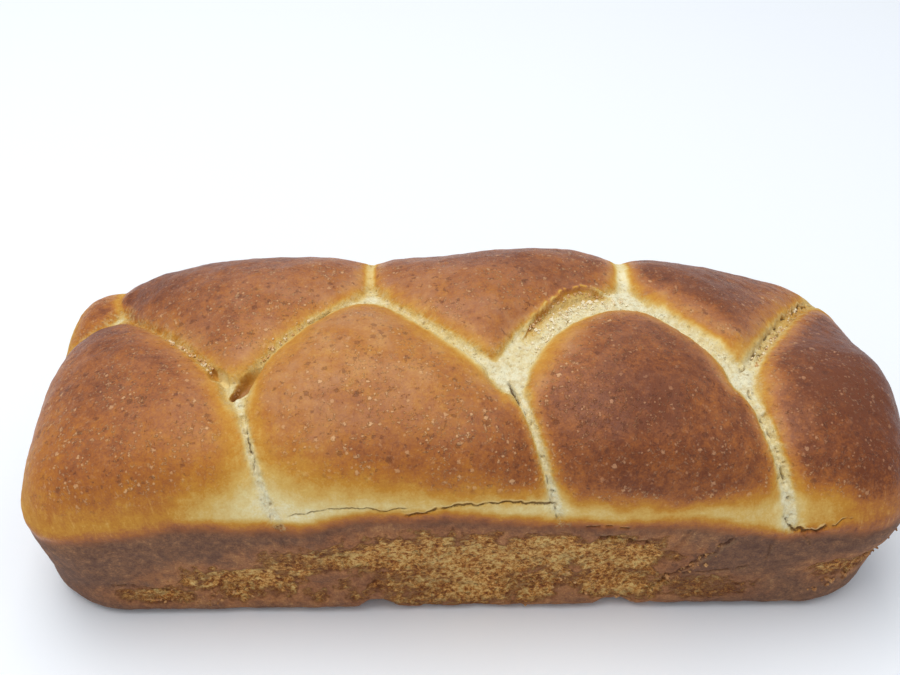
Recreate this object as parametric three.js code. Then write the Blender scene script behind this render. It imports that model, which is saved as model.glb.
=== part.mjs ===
// Challah baked in a loaf tin, as one closed body in millimetres.
// +Z is up and +X runs along the loaf. It rests on its flat base, and its front faces -Y.
// The body is a tin loaf with a crowned top. A three-strand plait is raised on it: the seams
// between the strands stay low, and the crust swells into lobes between them.
import * as THREE from "three";

// Driving sizes of the loaf at the level of its seams. The walls lean out from base to rim, and
// the corners are rounder, by a share of the height below the rim, towards the base.
const MIDDLE_X = 1.2;
const LENGTH = 310.5;
const WIDTH = 122;
const CROWN_HEIGHT = 90;
const RIM_HEIGHT = 48;
const WALL_DRAFT = THREE.MathUtils.degToRad(4.5);
const END_DRAFT = THREE.MathUtils.degToRad(-1);
const CORNER_RADIUS = 20;
const CORNER_GROWTH = 0.3;
const BASE_ROUNDING = 8;
const SHOULDER_ROUNDING = 14;
const OVERHANG = 3;
const OVERHANG_REACH = 30;

// How squarely the crown falls away along and across the loaf: a higher power is squarer
const CROWN_ALONG = { power: 2.2, root: 2.0, margin: 2 };
const CROWN_ACROSS = { power: 2.6, root: 2.2, margin: 1 };
const CROWN_STEEPNESS = 0.7;

// The lobes: how far the crust rises over the seams, how far from a seam it keeps rising,
// and the power of its section, where 0.5 would be a quarter of an ellipse
const LOBE_RISE = 8.5;
const LOBE_SHOULDER = 26;
const LOBE_SECTION = 0.66;
const LOBE_FADE = { below: 4, above: 30 };
const SEAM_BLEND = 3;

// A line inside the loaf from which the surface is measured outwards
const SPINE_HEIGHT = 42;
const SPINE_HALF = LENGTH / 2 - WIDTH * 0.45;

// Steps of the surface net along, across and up the loaf
const STEPS = { along: 72, across: 30, up: 16 };
const NET_CROWDING = 0.6;
const NET_TOP = 78;
const BASE_INSET = 18;
const SNAP_REACH = 2.2;

// Where strands meet, as guide points that are then set onto the body.
// Front junctions lie near the front edge of the top, back junctions behind its middle line.
const JUNCTIONS = {
  leftTop: [-131, 28, 71],
  frontLeft: [-79, -30, 83],
  backLeft: [-34, 17, 88],
  frontMiddle: [14, -27, 88],
  backRight: [61, 17, 87],
  frontRight: [97, -23, 81],
  footLeft: [-63, -60, 50],
  footMiddle: [32, -60, 50],
  footRight: [110, -60, 50],
  heelFarLeft: [-126, 60, 50],
  heelLeft: [-30, 62, 50],
  heelRight: [70, 62, 50],
  endLeft: [-154, 14, 50],
  endRight: [146, 48, 50],
};

// Each seam runs between two junctions, bows sideways by so much, and has a floor of this half
// width. Past its start it is held down by a share of 1, if that is given.
const SEAMS = [
  { from: "leftTop", to: "frontLeft", bow: 2.5, halfWidth: 1.2 },
  { from: "frontLeft", to: "backLeft", bow: 5.5, halfWidth: 0.8 },
  { from: "backLeft", to: "frontMiddle", bow: 0, halfWidth: 1.8 },
  { from: "frontMiddle", to: "backRight", bow: 8.5, halfWidth: 5.2 },
  { from: "backRight", to: "frontRight", bow: 3, halfWidth: 3 },
  { from: "frontRight", to: "endRight", bow: 3.5, halfWidth: 2.4 },
  { from: "frontLeft", to: "footLeft", bow: 0, halfWidth: 1.4 },
  { from: "frontMiddle", to: "footMiddle", bow: 1, halfWidth: 1.6 },
  { from: "frontRight", to: "footRight", bow: 0.75, halfWidth: 2 },
  { from: "leftTop", to: "heelFarLeft", bow: 0, halfWidth: 0.8, hold: 0.2 },
  { from: "leftTop", to: "endLeft", bow: 3, halfWidth: 1.2 },
  { from: "backLeft", to: "heelLeft", bow: 2, halfWidth: 1.2, hold: 0.15 },
  { from: "backRight", to: "heelRight", bow: 2, halfWidth: 1.6, hold: 0.1 },
];
const SEAM_STEPS = 8;
const HOLD_FROM = 0.3;

// Lobes that stand out more or less than the rest: middle, radius and extra height
const CROWNS = [
  { middle: [28, 30, 92], radius: 30, rise: 2.4 },
  { middle: [-18, 44, 90], radius: 24, rise: -2.5 },
  { middle: [62, -34, 86], radius: 26, rise: 1.5 },
  { middle: [129, 28, 77], radius: 24, rise: -8 },
  { middle: [156, -12, 62], radius: 24, rise: 10 },
  { middle: [-144, 36, 72], radius: 22, rise: 3 },
  { middle: [-80, 24, 88], radius: 36, rise: 1 },
];

// Shallow hollows in the walls, where crust stayed on the tin, and nicks in the base edge:
// middle, half length along the wall, half height and depth
const HOLLOWS = [
  { middle: [-7, -59, 25], halfLength: 38, halfHeight: 17, depth: 1.6 },
  { middle: [-76, -59, 17], halfLength: 17, halfHeight: 12, depth: 1.2 },
  { middle: [59, -59, 27], halfLength: 14, halfHeight: 13, depth: 1.3 },
  { middle: [-32, -57, 2], halfLength: 6, halfHeight: 6, depth: 2.6 },
  { middle: [55, -57, 2], halfLength: 6, halfHeight: 6, depth: 2.4 },
  { middle: [20, 59, 24], halfLength: 30, halfHeight: 14, depth: 1.4 },
  { middle: [-84, 59, 20], halfLength: 20, halfHeight: 12, depth: 1.2 },
];
const HOLLOW_REACH = 20;

// Gentle unevenness of the whole crust, none at the base
const WAVE_FADE = 14;
const WAVES = [
  { along: 21, across: 17, up: 23, height: 0.5 },
  { along: 11, across: 13, up: 12, height: 0.25 },
];

const CRUST = new THREE.MeshStandardMaterial({ color: 0xa8683a, roughness: 0.5, metalness: 0 });

/** Joins two signed depths into their maximum, with a round edge of the given size. */
function smoothMax(a, b, rounding) {
  const share = THREE.MathUtils.clamp(0.5 + (0.5 * (a - b)) / rounding, 0, 1);
  return a * share + b * (1 - share) + rounding * share * (1 - share);
}

/** Depth of a point outside the tin's drafted walls; negative inside. */
function tinWall(x, y, z) {
  const below = Math.max(RIM_HEIGHT - z, 0);
  const corner = CORNER_RADIUS + CORNER_GROWTH * below;
  const dx = Math.abs(x) - (LENGTH / 2 - Math.tan(END_DRAFT) * below - corner);
  const dy = Math.abs(y) - (WIDTH / 2 - Math.tan(WALL_DRAFT) * below - corner);
  const outside = Math.hypot(Math.max(dx, 0), Math.max(dy, 0));
  return outside + Math.min(Math.max(dx, dy), 0) - corner;
}

/** Share of the crown's height left at a distance from the middle of the loaf. */
function crownShare(distance, halfSize, { power, root, margin }) {
  const share = 1 - (Math.abs(distance) / (halfSize + margin)) ** power;
  return Math.max(share, 0) ** (1 / root);
}

/** Signed depth of a point outside the body at seam level; negative inside. */
function bodyDepth({ x, y, z }) {
  const fromMiddle = x - MIDDLE_X;
  const crown =
    crownShare(fromMiddle, LENGTH / 2, CROWN_ALONG) * crownShare(y, WIDTH / 2, CROWN_ACROSS);
  const topHeight = RIM_HEIGHT + (CROWN_HEIGHT - RIM_HEIGHT) * crown;
  const wall = tinWall(fromMiddle, y, z);
  const loaf = smoothMax(wall, (z - topHeight) * CROWN_STEEPNESS, SHOULDER_ROUNDING);
  return smoothMax(loaf, -z, BASE_ROUNDING);
}

/** Sets a guide point onto the body, along the line from the loaf's spine through it. */
function ontoBody(guide) {
  const start = new THREE.Vector3(
    THREE.MathUtils.clamp(guide.x, MIDDLE_X - SPINE_HALF, MIDDLE_X + SPINE_HALF), 0,
    SPINE_HEIGHT);
  const direction = guide.clone().sub(start).normalize();
  let inside = 0;
  let outside = LENGTH;
  for (let step = 0; step < 32; step += 1) {
    const middle = (inside + outside) / 2;
    const probe = start.clone().addScaledVector(direction, middle);
    if (bodyDepth(probe) < 0) inside = middle;
    else outside = middle;
  }
  return start.addScaledVector(direction, inside);
}

/** Outward direction of the body's surface at a point. */
function bodyNormal(point) {
  const reach = 0.5;
  const slope = (axis) => {
    const ahead = point.clone();
    const behind = point.clone();
    ahead[axis] += reach;
    behind[axis] -= reach;
    return bodyDepth(ahead) - bodyDepth(behind);
  };
  return new THREE.Vector3(slope("x"), slope("y"), slope("z")).normalize();
}

/** The seam's line on the body, bowed sideways between its two junctions. */
function seamPath({ from, to, bow, halfWidth, hold = 1 }) {
  const start = new THREE.Vector3(...JUNCTIONS[from]);
  const end = new THREE.Vector3(...JUNCTIONS[to]);
  const middle = start.clone().lerp(end, 0.5);
  const along = end.clone().sub(start).normalize();
  const sideways = bodyNormal(ontoBody(middle)).cross(along).normalize();
  // A quadratic curve reaches half way to its control point, hence twice the bow
  const control = middle.addScaledVector(sideways, 2 * bow);
  const curve = new THREE.QuadraticBezierCurve3(start, control, end);
  return { points: curve.getPoints(SEAM_STEPS).map(ontoBody), halfWidth, hold };
}

const seamPaths = SEAMS.map(seamPath);

/** Nearest place on a seam to a point, the distance to it, and the share of the seam before it. */
function nearestOnSeam(point, { points }) {
  const segment = new THREE.Line3();
  const place = new THREE.Vector3();
  const best = { distance: Infinity, place: new THREE.Vector3(), share: 0 };
  for (let index = 1; index < points.length; index += 1) {
    segment.set(points[index - 1], points[index]).closestPointToPoint(point, true, place);
    const distance = place.distanceTo(point);
    if (distance < best.distance) {
      best.distance = distance;
      best.place.copy(place);
      best.share = (index - 1 + segment.closestPointToPointParameter(point, true)) /
        (points.length - 1);
    }
  }
  return best;
}

/** Distance from a point to the edge of the nearest seam floor, blended where seams meet. */
function distanceToSeams(point) {
  let total = 0;
  for (const seam of seamPaths) {
    const { distance, share } = nearestOnSeam(point, seam);
    const gap = Math.max(distance - seam.halfWidth, 0);
    const past = THREE.MathUtils.smoothstep(share, 0, HOLD_FROM);
    total += Math.exp(-gap / SEAM_BLEND) * THREE.MathUtils.lerp(1, seam.hold, past);
  }
  return Math.max(-SEAM_BLEND * Math.log(total), 0);
}

/** Rise of the lobes over a point of the body, none on the walls that the tin held. */
function lobeRise(point) {
  const share = Math.min(distanceToSeams(point) / LOBE_SHOULDER, 1);
  const free = THREE.MathUtils.smoothstep(
    point.z, RIM_HEIGHT - LOBE_FADE.below, RIM_HEIGHT + LOBE_FADE.above);
  const round = LOBE_RISE * (1 - (1 - share) ** 2) ** LOBE_SECTION;
  const extra = CROWNS.reduce((sum, { middle, radius, rise }) => {
    const distance = point.distanceTo(new THREE.Vector3(...middle));
    return sum + rise * Math.exp(-((distance / radius) ** 2));
  }, 0);
  return (round + extra * share) * free;
}

/** Depth of the wall's hollows and nicks at a point of the body. */
function hollowDepth({ x, y, z }) {
  return HOLLOWS.reduce((sum, { middle, halfLength, halfHeight, depth }) => {
    const away = Math.hypot(
      (x - middle[0]) / halfLength, (z - middle[2]) / halfHeight, (y - middle[1]) / HOLLOW_REACH);
    return sum + depth * Math.exp(-(away ** 4));
  }, 0);
}

/** How far the crust stands out from a point of the body. */
function swell(point) {
  const overhang = OVERHANG * Math.max(1 - Math.abs(point.z - RIM_HEIGHT) / OVERHANG_REACH, 0);
  const waves = WAVES.reduce((sum, { along, across, up, height }) => sum + height *
    Math.sin(point.x / along) * Math.cos(point.y / across + point.z / up), 0);
  const offBase = THREE.MathUtils.smoothstep(point.z, 0, WAVE_FADE);
  return lobeRise(point) + overhang + waves * offBase - hollowDepth(point);
}

/** Moves a point of the body that lies close to a seam onto it, so that the crease is clean. */
function snapToSeam(point) {
  for (const seam of seamPaths) {
    const { distance, place } = nearestOnSeam(point, seam);
    if (distance < SNAP_REACH && point.z > RIM_HEIGHT) return ontoBody(place);
  }
  return point;
}

/** A point of the net, with u, v and w from -1 to 1 along, across and up a box round the loaf. */
function netPoint(u, v, w) {
  // Rows stand closer together at the base edge and at the shoulder
  const evenHeight = (w + 1) / 2;
  const crowdedHeight = (1 - Math.cos(Math.PI * evenHeight)) / 2;
  const height = THREE.MathUtils.lerp(evenHeight, crowdedHeight, NET_CROWDING);
  const inset = BASE_INSET * (1 - height) ** 2;
  const guide = new THREE.Vector3(
    MIDDLE_X + u * (LENGTH / 2 - inset), v * (WIDTH / 2 - inset), NET_TOP * height);
  const body = ontoBody(guide);
  if (w <= -1) return { place: body.setZ(0), raised: 0 };
  const snapped = snapToSeam(body);
  const raised = swell(snapped);
  return { place: snapped.clone().addScaledVector(bodyNormal(snapped), raised), raised };
}

/** The loaf's closed surface: a net over top and sides, and one flat polygon for the base. */
function buildLoaf() {
  const { along, across, up } = STEPS;
  const positions = [];
  const raised = [];
  const triangles = [];
  const numbers = new Map();

  const vertex = (i, j, k) => {
    const key = `${i},${j},${k}`;
    if (!numbers.has(key)) {
      const net = netPoint((2 * i) / along - 1, (2 * j) / across - 1, (2 * k) / up - 1);
      numbers.set(key, raised.length);
      positions.push(net.place.x, net.place.y, net.place.z);
      raised.push(net.raised);
    }
    return numbers.get(key);
  };

  // A quad is split along its lower diagonal, so that creases run unbroken
  const quad = (a, b, c, d) => {
    if (raised[a] + raised[c] <= raised[b] + raised[d]) triangles.push(a, b, c, a, c, d);
    else triangles.push(a, b, d, b, c, d);
  };

  for (let i = 0; i < along; i += 1) {
    for (let j = 0; j < across; j += 1) {
      quad(vertex(i, j, up), vertex(i + 1, j, up), vertex(i + 1, j + 1, up), vertex(i, j + 1, up));
    }
    for (let k = 0; k < up; k += 1) {
      quad(vertex(i, 0, k), vertex(i + 1, 0, k), vertex(i + 1, 0, k + 1), vertex(i, 0, k + 1));
      quad(
        vertex(i, across, k + 1), vertex(i + 1, across, k + 1),
        vertex(i + 1, across, k), vertex(i, across, k));
    }
  }
  for (let j = 0; j < across; j += 1) {
    for (let k = 0; k < up; k += 1) {
      quad(vertex(0, j, k + 1), vertex(0, j + 1, k + 1), vertex(0, j + 1, k), vertex(0, j, k));
      quad(
        vertex(along, j, k), vertex(along, j + 1, k),
        vertex(along, j + 1, k + 1), vertex(along, j, k + 1));
    }
  }

  // The base is the ring of lowest net points, walked once round
  const ring = [];
  for (let i = 0; i < along; i += 1) ring.push(vertex(i, 0, 0));
  for (let j = 0; j < across; j += 1) ring.push(vertex(along, j, 0));
  for (let i = along; i > 0; i -= 1) ring.push(vertex(i, across, 0));
  for (let j = across; j > 0; j -= 1) ring.push(vertex(0, j, 0));
  const outline = ring.map((n) => new THREE.Vector2(positions[3 * n], positions[3 * n + 1]));
  for (const [a, b, c] of THREE.ShapeUtils.triangulateShape(outline, [])) {
    triangles.push(ring[a], ring[c], ring[b]);
  }

  const geometry = new THREE.BufferGeometry();
  geometry.setAttribute("position", new THREE.Float32BufferAttribute(positions, 3));
  geometry.setIndex(triangles);
  geometry.computeBoundingBox();
  const centre = geometry.boundingBox.getCenter(new THREE.Vector3());
  geometry.translate(-centre.x, -centre.y, 0);
  geometry.computeVertexNormals();
  return geometry;
}

const challah = new THREE.Group();
const loaf = new THREE.Mesh(buildLoaf(), CRUST);
loaf.name = "loaf";
challah.add(loaf);

export default challah;
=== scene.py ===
"""Challah baked in a loaf tin, dressed for a plain studio render.

The loaf is one body, so one crust stands for it. Its shape is worked out in millimetres, with +X
along the loaf and its front facing -Y, and is written to the mesh in metres.
"""

import sys
import functools
import logging
import math
from collections.abc import Sequence
from dataclasses import dataclass, field
from enum import Enum

import bmesh
import bpy
import numpy as np
from mathutils import Matrix, Vector
from mathutils.bvhtree import BVHTree


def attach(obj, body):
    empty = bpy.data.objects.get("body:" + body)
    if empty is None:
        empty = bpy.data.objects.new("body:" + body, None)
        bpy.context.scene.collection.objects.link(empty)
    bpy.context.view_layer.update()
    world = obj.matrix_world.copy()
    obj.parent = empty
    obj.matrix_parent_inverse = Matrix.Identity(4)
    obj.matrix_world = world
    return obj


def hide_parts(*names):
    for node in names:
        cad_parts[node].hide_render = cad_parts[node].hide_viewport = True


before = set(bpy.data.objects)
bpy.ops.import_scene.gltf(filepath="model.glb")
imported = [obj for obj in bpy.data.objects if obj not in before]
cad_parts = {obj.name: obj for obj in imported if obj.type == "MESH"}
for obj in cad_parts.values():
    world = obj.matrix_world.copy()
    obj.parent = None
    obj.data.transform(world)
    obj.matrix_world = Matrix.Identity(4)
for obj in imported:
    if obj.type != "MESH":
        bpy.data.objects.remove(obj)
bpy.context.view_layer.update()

Array = np.ndarray
Colour = tuple[int, int, int]
Stops = tuple[tuple[float, Colour], ...]
Place = tuple[float, float, float]
Fade = tuple[float, float]  # Where it is 0 and where it is 1
Bell = tuple[float, float]  # Its middle and its width
Range = tuple[float, float]  # Its lowest and its highest value
Ease = tuple[float, float, float, float]  # Where it starts and ends, and its values there
Socket = bpy.types.NodeSocket

METRES_PER_MM = 0.001
TINY = 1e-9
log = logging.getLogger("challah")


def linear(colour: Colour) -> tuple[float, float, float, float]:
    """Turns an sRGB colour of 0 to 255 into a linear one with full opacity.

    Args:
        colour: Red, green and blue from 0 to 255.

    Returns:
        The linear red, green and blue, and 1 for opacity.
    """
    shares = [value / 255 for value in colour]
    red, green, blue = (
        share / 12.92 if share <= 0.04045 else ((share + 0.055) / 1.055) ** 2.4
        for share in shares
    )
    return red, green, blue, 1.0


def smooth(value: Array, low: float | Array, high: float | Array) -> Array:
    """Eases from 0 at low to 1 at high.

    Args:
        value: What is compared with the two limits.
        low: Where the result is 0.
        high: Where the result is 1.

    Returns:
        The eased share for each value.
    """
    share = np.clip((value - low) / (high - low), 0, 1)
    return share * share * (3 - 2 * share)


def blend(share: Array, first: float | Array, second: float | Array) -> Array:
    """Mixes first and second by a share from 0 to 1."""
    return first + (second - first) * share


def round_max(first: Array, second: Array, rounding: float) -> Array:
    """Joins two signed depths into their maximum, with a round edge.

    Args:
        first: Signed depths outside one surface.
        second: Signed depths outside the other surface.
        rounding: Size of the round edge between them.

    Returns:
        The signed depths outside the joined surface.
    """
    share = np.clip(0.5 + 0.5 * (first - second) / rounding, 0, 1)
    return first * share + second * (1 - share) + rounding * share * (1 - share)


def bell(value: Array, middle: float = 0.0, width: float = 1.0) -> Array:
    """Rises to 1 at the middle and falls away on both sides."""
    return np.exp(-((value - middle) / width) ** 2)


def between(share: Array, fade: float, first: float = 0.0, last: float = 1.0) -> Array:
    """Fades in behind first and out before last, each over the fade's share of a line."""
    return smooth(share, first, first + fade) * smooth(share, last, last - fade)


def read_places(mesh: bpy.types.Mesh) -> Array:
    """Reads a mesh's vertices.

    Args:
        mesh: The mesh.

    Returns:
        Rows of x, y and z.
    """
    places = np.empty(len(mesh.vertices) * 3, np.float32)
    mesh.vertices.foreach_get("co", places)
    return places.reshape(-1, 3).astype(float)


def put_in_scene(name: str, data: bpy.types.ID) -> bpy.types.Object:
    """Makes an object and links it into the scene.

    Args:
        name: Name of the object.
        data: Its mesh, light or camera.

    Returns:
        The object.
    """
    made = bpy.data.objects.new(name, data)
    bpy.context.scene.collection.objects.link(made)
    return made


def unit(vectors: Array) -> Array:
    """Scales vectors to length 1."""
    return vectors / np.linalg.norm(vectors, axis=-1, keepdims=True)


@dataclass(frozen=True)
class Layer:
    """A layer of random relief: its height, the size of its features and how many octaves it has.

    The shift keeps two layers of one grain apart. Sizes are in millimetres.
    """

    height: float
    size: float
    octaves: int = 1
    shift: float = 0.0


class Grain:
    """Smooth random relief in space, the same on every run."""

    CELLS = 4096
    OCTAVE_SHIFT = 17.3
    GAIN = 1.6

    def __init__(self, seed: int) -> None:
        """Draws the slopes at the cells' corners.

        Args:
            seed: Seed of the draw.
        """
        draw = np.random.default_rng(seed)
        self.order = draw.permutation(self.CELLS)
        self.slopes = unit(draw.normal(size=(self.CELLS, 3)))

    def at(self, points: Array, size: float, octaves: int = 1) -> Array:
        """Gives the relief at points.

        Args:
            points: Places in millimetres.
            size: Size of the largest features in millimetres.
            octaves: How many ever finer patterns are added up.

        Returns:
            Heights of about -1 to 1.
        """
        total = np.zeros(len(points))
        for octave in range(octaves):
            places = points * (2**octave / size) + self.OCTAVE_SHIFT * octave
            total += self._octave(places) / 2**octave
        return total * self.GAIN

    def relief(self, points: Array, *layers: Layer) -> Array:
        """Adds up layers of relief.

        Args:
            points: Places in millimetres.
            layers: The layers.

        Returns:
            Heights in millimetres.
        """
        return sum(
            layer.height * self.at(points + layer.shift, layer.size, layer.octaves)
            for layer in layers
        )

    def _octave(self, places: Array) -> Array:
        """Blends the slopes of the eight corners round each place.

        Args:
            places: Places, counted in cells.

        Returns:
            Heights, 0 at every corner.
        """
        cell = np.floor(places).astype(int)
        inner = places - cell
        fade = inner**3 * (inner * (inner * 6 - 15) + 10)
        total = np.zeros(len(places))
        for corner in np.ndindex(2, 2, 2):
            offset = np.array(corner)
            reach = ((inner - offset) * self.slopes[self._number(cell + offset)]).sum(1)
            total += reach * np.where(offset, fade, 1 - fade).prod(1)
        return total

    def _number(self, cell: Array) -> Array:
        """Picks one table entry for each cell corner.

        Args:
            cell: Whole numbers of cells along the three axes.

        Returns:
            Numbers of the slopes.
        """
        number = np.zeros(len(cell), int)
        for axis in range(3):
            number = self.order[(number + cell[:, axis]) % self.CELLS]
        return number


@dataclass(frozen=True)
class CrownShare:
    """How squarely the crown falls away from the middle: a higher power is squarer."""

    power: float
    root: float
    margin: float

    def at(self, distance: Array, half_size: float) -> Array:
        """Gives the share of the crown's height that is left.

        Args:
            distance: Distance from the middle of the loaf.
            half_size: Half of the loaf's size that way.

        Returns:
            Shares from 0 to 1.
        """
        share = 1 - (np.abs(distance) / (half_size + self.margin)) ** self.power
        return np.maximum(share, 0) ** (1 / self.root)


@dataclass(frozen=True)
class TinLoaf:
    """The loaf at the level of its seams: drafted tin walls and a crowned top."""

    middle_x: float = 1.2
    length: float = 310.5
    width: float = 122.0
    crown_height: float = 90.0
    rim_height: float = 48.0
    wall_draft: float = math.radians(4.5)
    end_draft: float = math.radians(-1.0)
    corner_radius: float = 20.0
    corner_growth: float = 0.3
    base_rounding: float = 8.0
    shoulder_rounding: float = 14.0
    crown_steepness: float = 0.7
    crown_along: CrownShare = CrownShare(power=2.2, root=2.0, margin=2.0)
    crown_across: CrownShare = CrownShare(power=2.6, root=2.2, margin=1.0)
    spine_height: float = 42.0
    spine_inset: float = 0.45
    search_steps: int = 28
    slope_reach: float = 0.5

    @property
    def spine_half(self) -> float:
        """Half length of the inner line that the surface is measured from."""
        return self.length / 2 - self.width * self.spine_inset

    def depth(self, points: Array) -> Array:
        """Gives the signed depth outside the body.

        Args:
            points: Places in millimetres.

        Returns:
            Depths, negative inside.
        """
        x, y, z = points.T
        x = x - self.middle_x
        below = np.maximum(self.rim_height - z, 0)
        corner = self.corner_radius + self.corner_growth * below
        over_x = np.abs(x) - (self.length / 2 - math.tan(self.end_draft) * below - corner)
        over_y = np.abs(y) - (self.width / 2 - math.tan(self.wall_draft) * below - corner)
        outside = np.hypot(np.maximum(over_x, 0), np.maximum(over_y, 0))
        wall = outside + np.minimum(np.maximum(over_x, over_y), 0) - corner
        crown = self.crown_along.at(x, self.length / 2) * self.crown_across.at(y, self.width / 2)
        top = self.rim_height + (self.crown_height - self.rim_height) * crown
        loaf = round_max(wall, (z - top) * self.crown_steepness, self.shoulder_rounding)
        return round_max(loaf, -z, self.base_rounding)

    def onto(self, guides: Array) -> Array:
        """Sets guide points onto the body, along lines from its spine through them.

        Args:
            guides: Places in millimetres.

        Returns:
            Places on the body's surface.
        """
        start = np.zeros_like(guides)
        start[:, 0] = np.clip(
            guides[:, 0], self.middle_x - self.spine_half, self.middle_x + self.spine_half)
        start[:, 2] = self.spine_height
        direction = unit(guides - start)
        inside = np.zeros(len(guides))
        outside = np.full(len(guides), self.length)
        for _ in range(self.search_steps):
            middle = (inside + outside) / 2
            within = self.depth(start + direction * middle[:, None]) < 0
            inside = np.where(within, middle, inside)
            outside = np.where(within, outside, middle)
        return start + direction * inside[:, None]

    def normals(self, points: Array) -> Array:
        """Gives the outward directions of the body's surface.

        Args:
            points: Places on the surface.

        Returns:
            Directions of length 1.
        """
        steps = np.eye(3) * self.slope_reach
        slopes = [self.depth(points + step) - self.depth(points - step) for step in steps]
        return unit(np.stack(slopes, axis=1))


@dataclass
class Trace:
    """Where points lie beside a line on the crust, in millimetres."""

    distance: Array
    side: Array
    along: Array
    across: Array
    length: float

    @property
    def share(self) -> Array:
        """Share of the line's length that lies behind each point."""
        return self.along / self.length


class CrustLine:
    """A line on the body that points are measured from."""

    REACH = 34.0

    def __init__(self, places: Array, body: TinLoaf) -> None:
        """Keeps the line's places and the body's directions there.

        Args:
            places: Places along the line, on the body.
            body: The body that the line lies on.
        """
        self.places = places
        self.steps = np.diff(places, axis=0)
        self.lengths = np.linalg.norm(self.steps, axis=1)
        middles = (places[1:] + places[:-1]) / 2
        self.sideways = unit(np.cross(body.normals(middles), self.steps))

    def trace(self, points: Array) -> Trace:
        """Measures points from the line.

        Args:
            points: Places in millimetres.

        Returns:
            Distance, side (positive to the left of the line's run) and length along the line.
        """
        far = 10 * self.REACH
        result = Trace(
            np.full(len(points), far), np.full(len(points), far), np.zeros(len(points)),
            np.zeros((len(points), 3)), float(self.lengths.sum()),
        )
        low = self.places.min(0) - self.REACH
        high = self.places.max(0) + self.REACH
        near = np.flatnonzero(((points > low) & (points < high)).all(1))
        behind = 0.0
        for start, step, length, sideways in zip(
            self.places, self.steps, self.lengths, self.sideways
        ):
            away = points[near] - start
            share = np.clip(away @ step / length**2, 0, 1)
            offset = away - share[:, None] * step
            distance = np.linalg.norm(offset, axis=1)
            closer = distance < result.distance[near]
            chosen = near[closer]
            result.distance[chosen] = distance[closer]
            result.side[chosen] = (offset @ sideways)[closer]
            result.along[chosen] = behind + share[closer] * length
            result.across[chosen] = sideways
            behind += length
        return result


@dataclass(frozen=True)
class Border:
    """The crust on one side of a seam, by distances from the seam's floor in millimetres.

    It stays pale at first, is golden further on, and has the lobe's own brown in the end.
    """

    pale: float = 0.4
    golden: float = 4.0
    brown: float = 9.0


@dataclass(frozen=True)
class Crack:
    """A split that wanders along a line, with painted shade in it: sizes in millimetres, ends as
    shares of the line.
    """

    offset: float = 0.0
    wander: float = 0.6
    width: float = 0.5
    depth: float = 1.2
    closed: float = 0.4
    first: float = 0.0
    last: float = 1.0
    # How much painted shade darkens the split
    painted_shade: float = 1.0
    end_fade: float = 0.08
    apart: float = 31.0
    wandering: Layer = Layer(1.0, 5, 3)
    widening: Layer = Layer(0.45, 3, 2, 19)
    opening: Layer = Layer(1.0, 4, 2, 7)
    open_level: float = 1.1
    closing: float = 1.6
    open_fade: Fade = (0.2, 0.8)

    def measure(
        self, trace: Trace, near: Array, number: int, grain: Grain,
    ) -> tuple[Array, Array]:
        """Measures points from the crack.

        Args:
            trace: All points, measured from the crack's line.
            near: Numbers of the points that are near enough.
            number: Number of the crack, which sets its wandering apart.
            grain: Source of the wandering.

        Returns:
            Signed distances in half widths, and how far the crack is open.
        """
        none = np.zeros(len(near))
        run = np.stack([trace.along[near], none + self.apart * number, none], axis=1)
        side = trace.side[near] - self.offset - self.wander * grain.relief(run, self.wandering)
        side /= self.width * (1 + grain.relief(run, self.widening))
        opened = grain.relief(run, self.opening) + self.open_level - self.closing * self.closed
        ends = between(trace.share[near], self.end_fade, self.first, self.last)
        return side, ends * smooth(opened, *self.open_fade)


@dataclass(frozen=True)
class Seam:
    """A seam of the plait between two junctions, named from one end to the other.

    The palest shares are the browning of its floor, at its start and at its end. The hold is how
    deep the seam stays past its start: 1 is down to the body.
    """

    start: str
    end: str
    bow: float
    half_width: float
    left: Border
    right: Border
    palest: tuple[float, float]
    porous: float = 1.0
    stretched: float = 0.5
    hold: float = 1.0
    cracks: tuple[Crack, ...] = ()


@dataclass(frozen=True)
class OvenMark:
    """A place on a lobe, and how brown the oven made it: 0 is pale and 1 is darkest."""

    place: Place
    brown: float


@dataclass(frozen=True)
class Crown:
    """Extra height of a lobe that stands out more, or less, than the rest."""

    middle: Place
    radius: float
    rise: float


JUNCTIONS: dict[str, Place] = {
    "leftTop": (-131, 28, 71),
    "frontLeft": (-79, -30, 83),
    "backLeft": (-34, 17, 88),
    "frontMiddle": (14, -27, 88),
    "backRight": (61, 17, 87),
    "frontRight": (97, -23, 81),
    "footLeft": (-63, -60, 50),
    "footMiddle": (32, -60, 50),
    "footRight": (110, -60, 50),
    "heelFarLeft": (-126, 60, 50),
    "heelLeft": (-30, 62, 50),
    "heelRight": (70, 62, 50),
    "endLeft": (-154, 14, 50),
    "endRight": (146, 48, 50),
}

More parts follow.
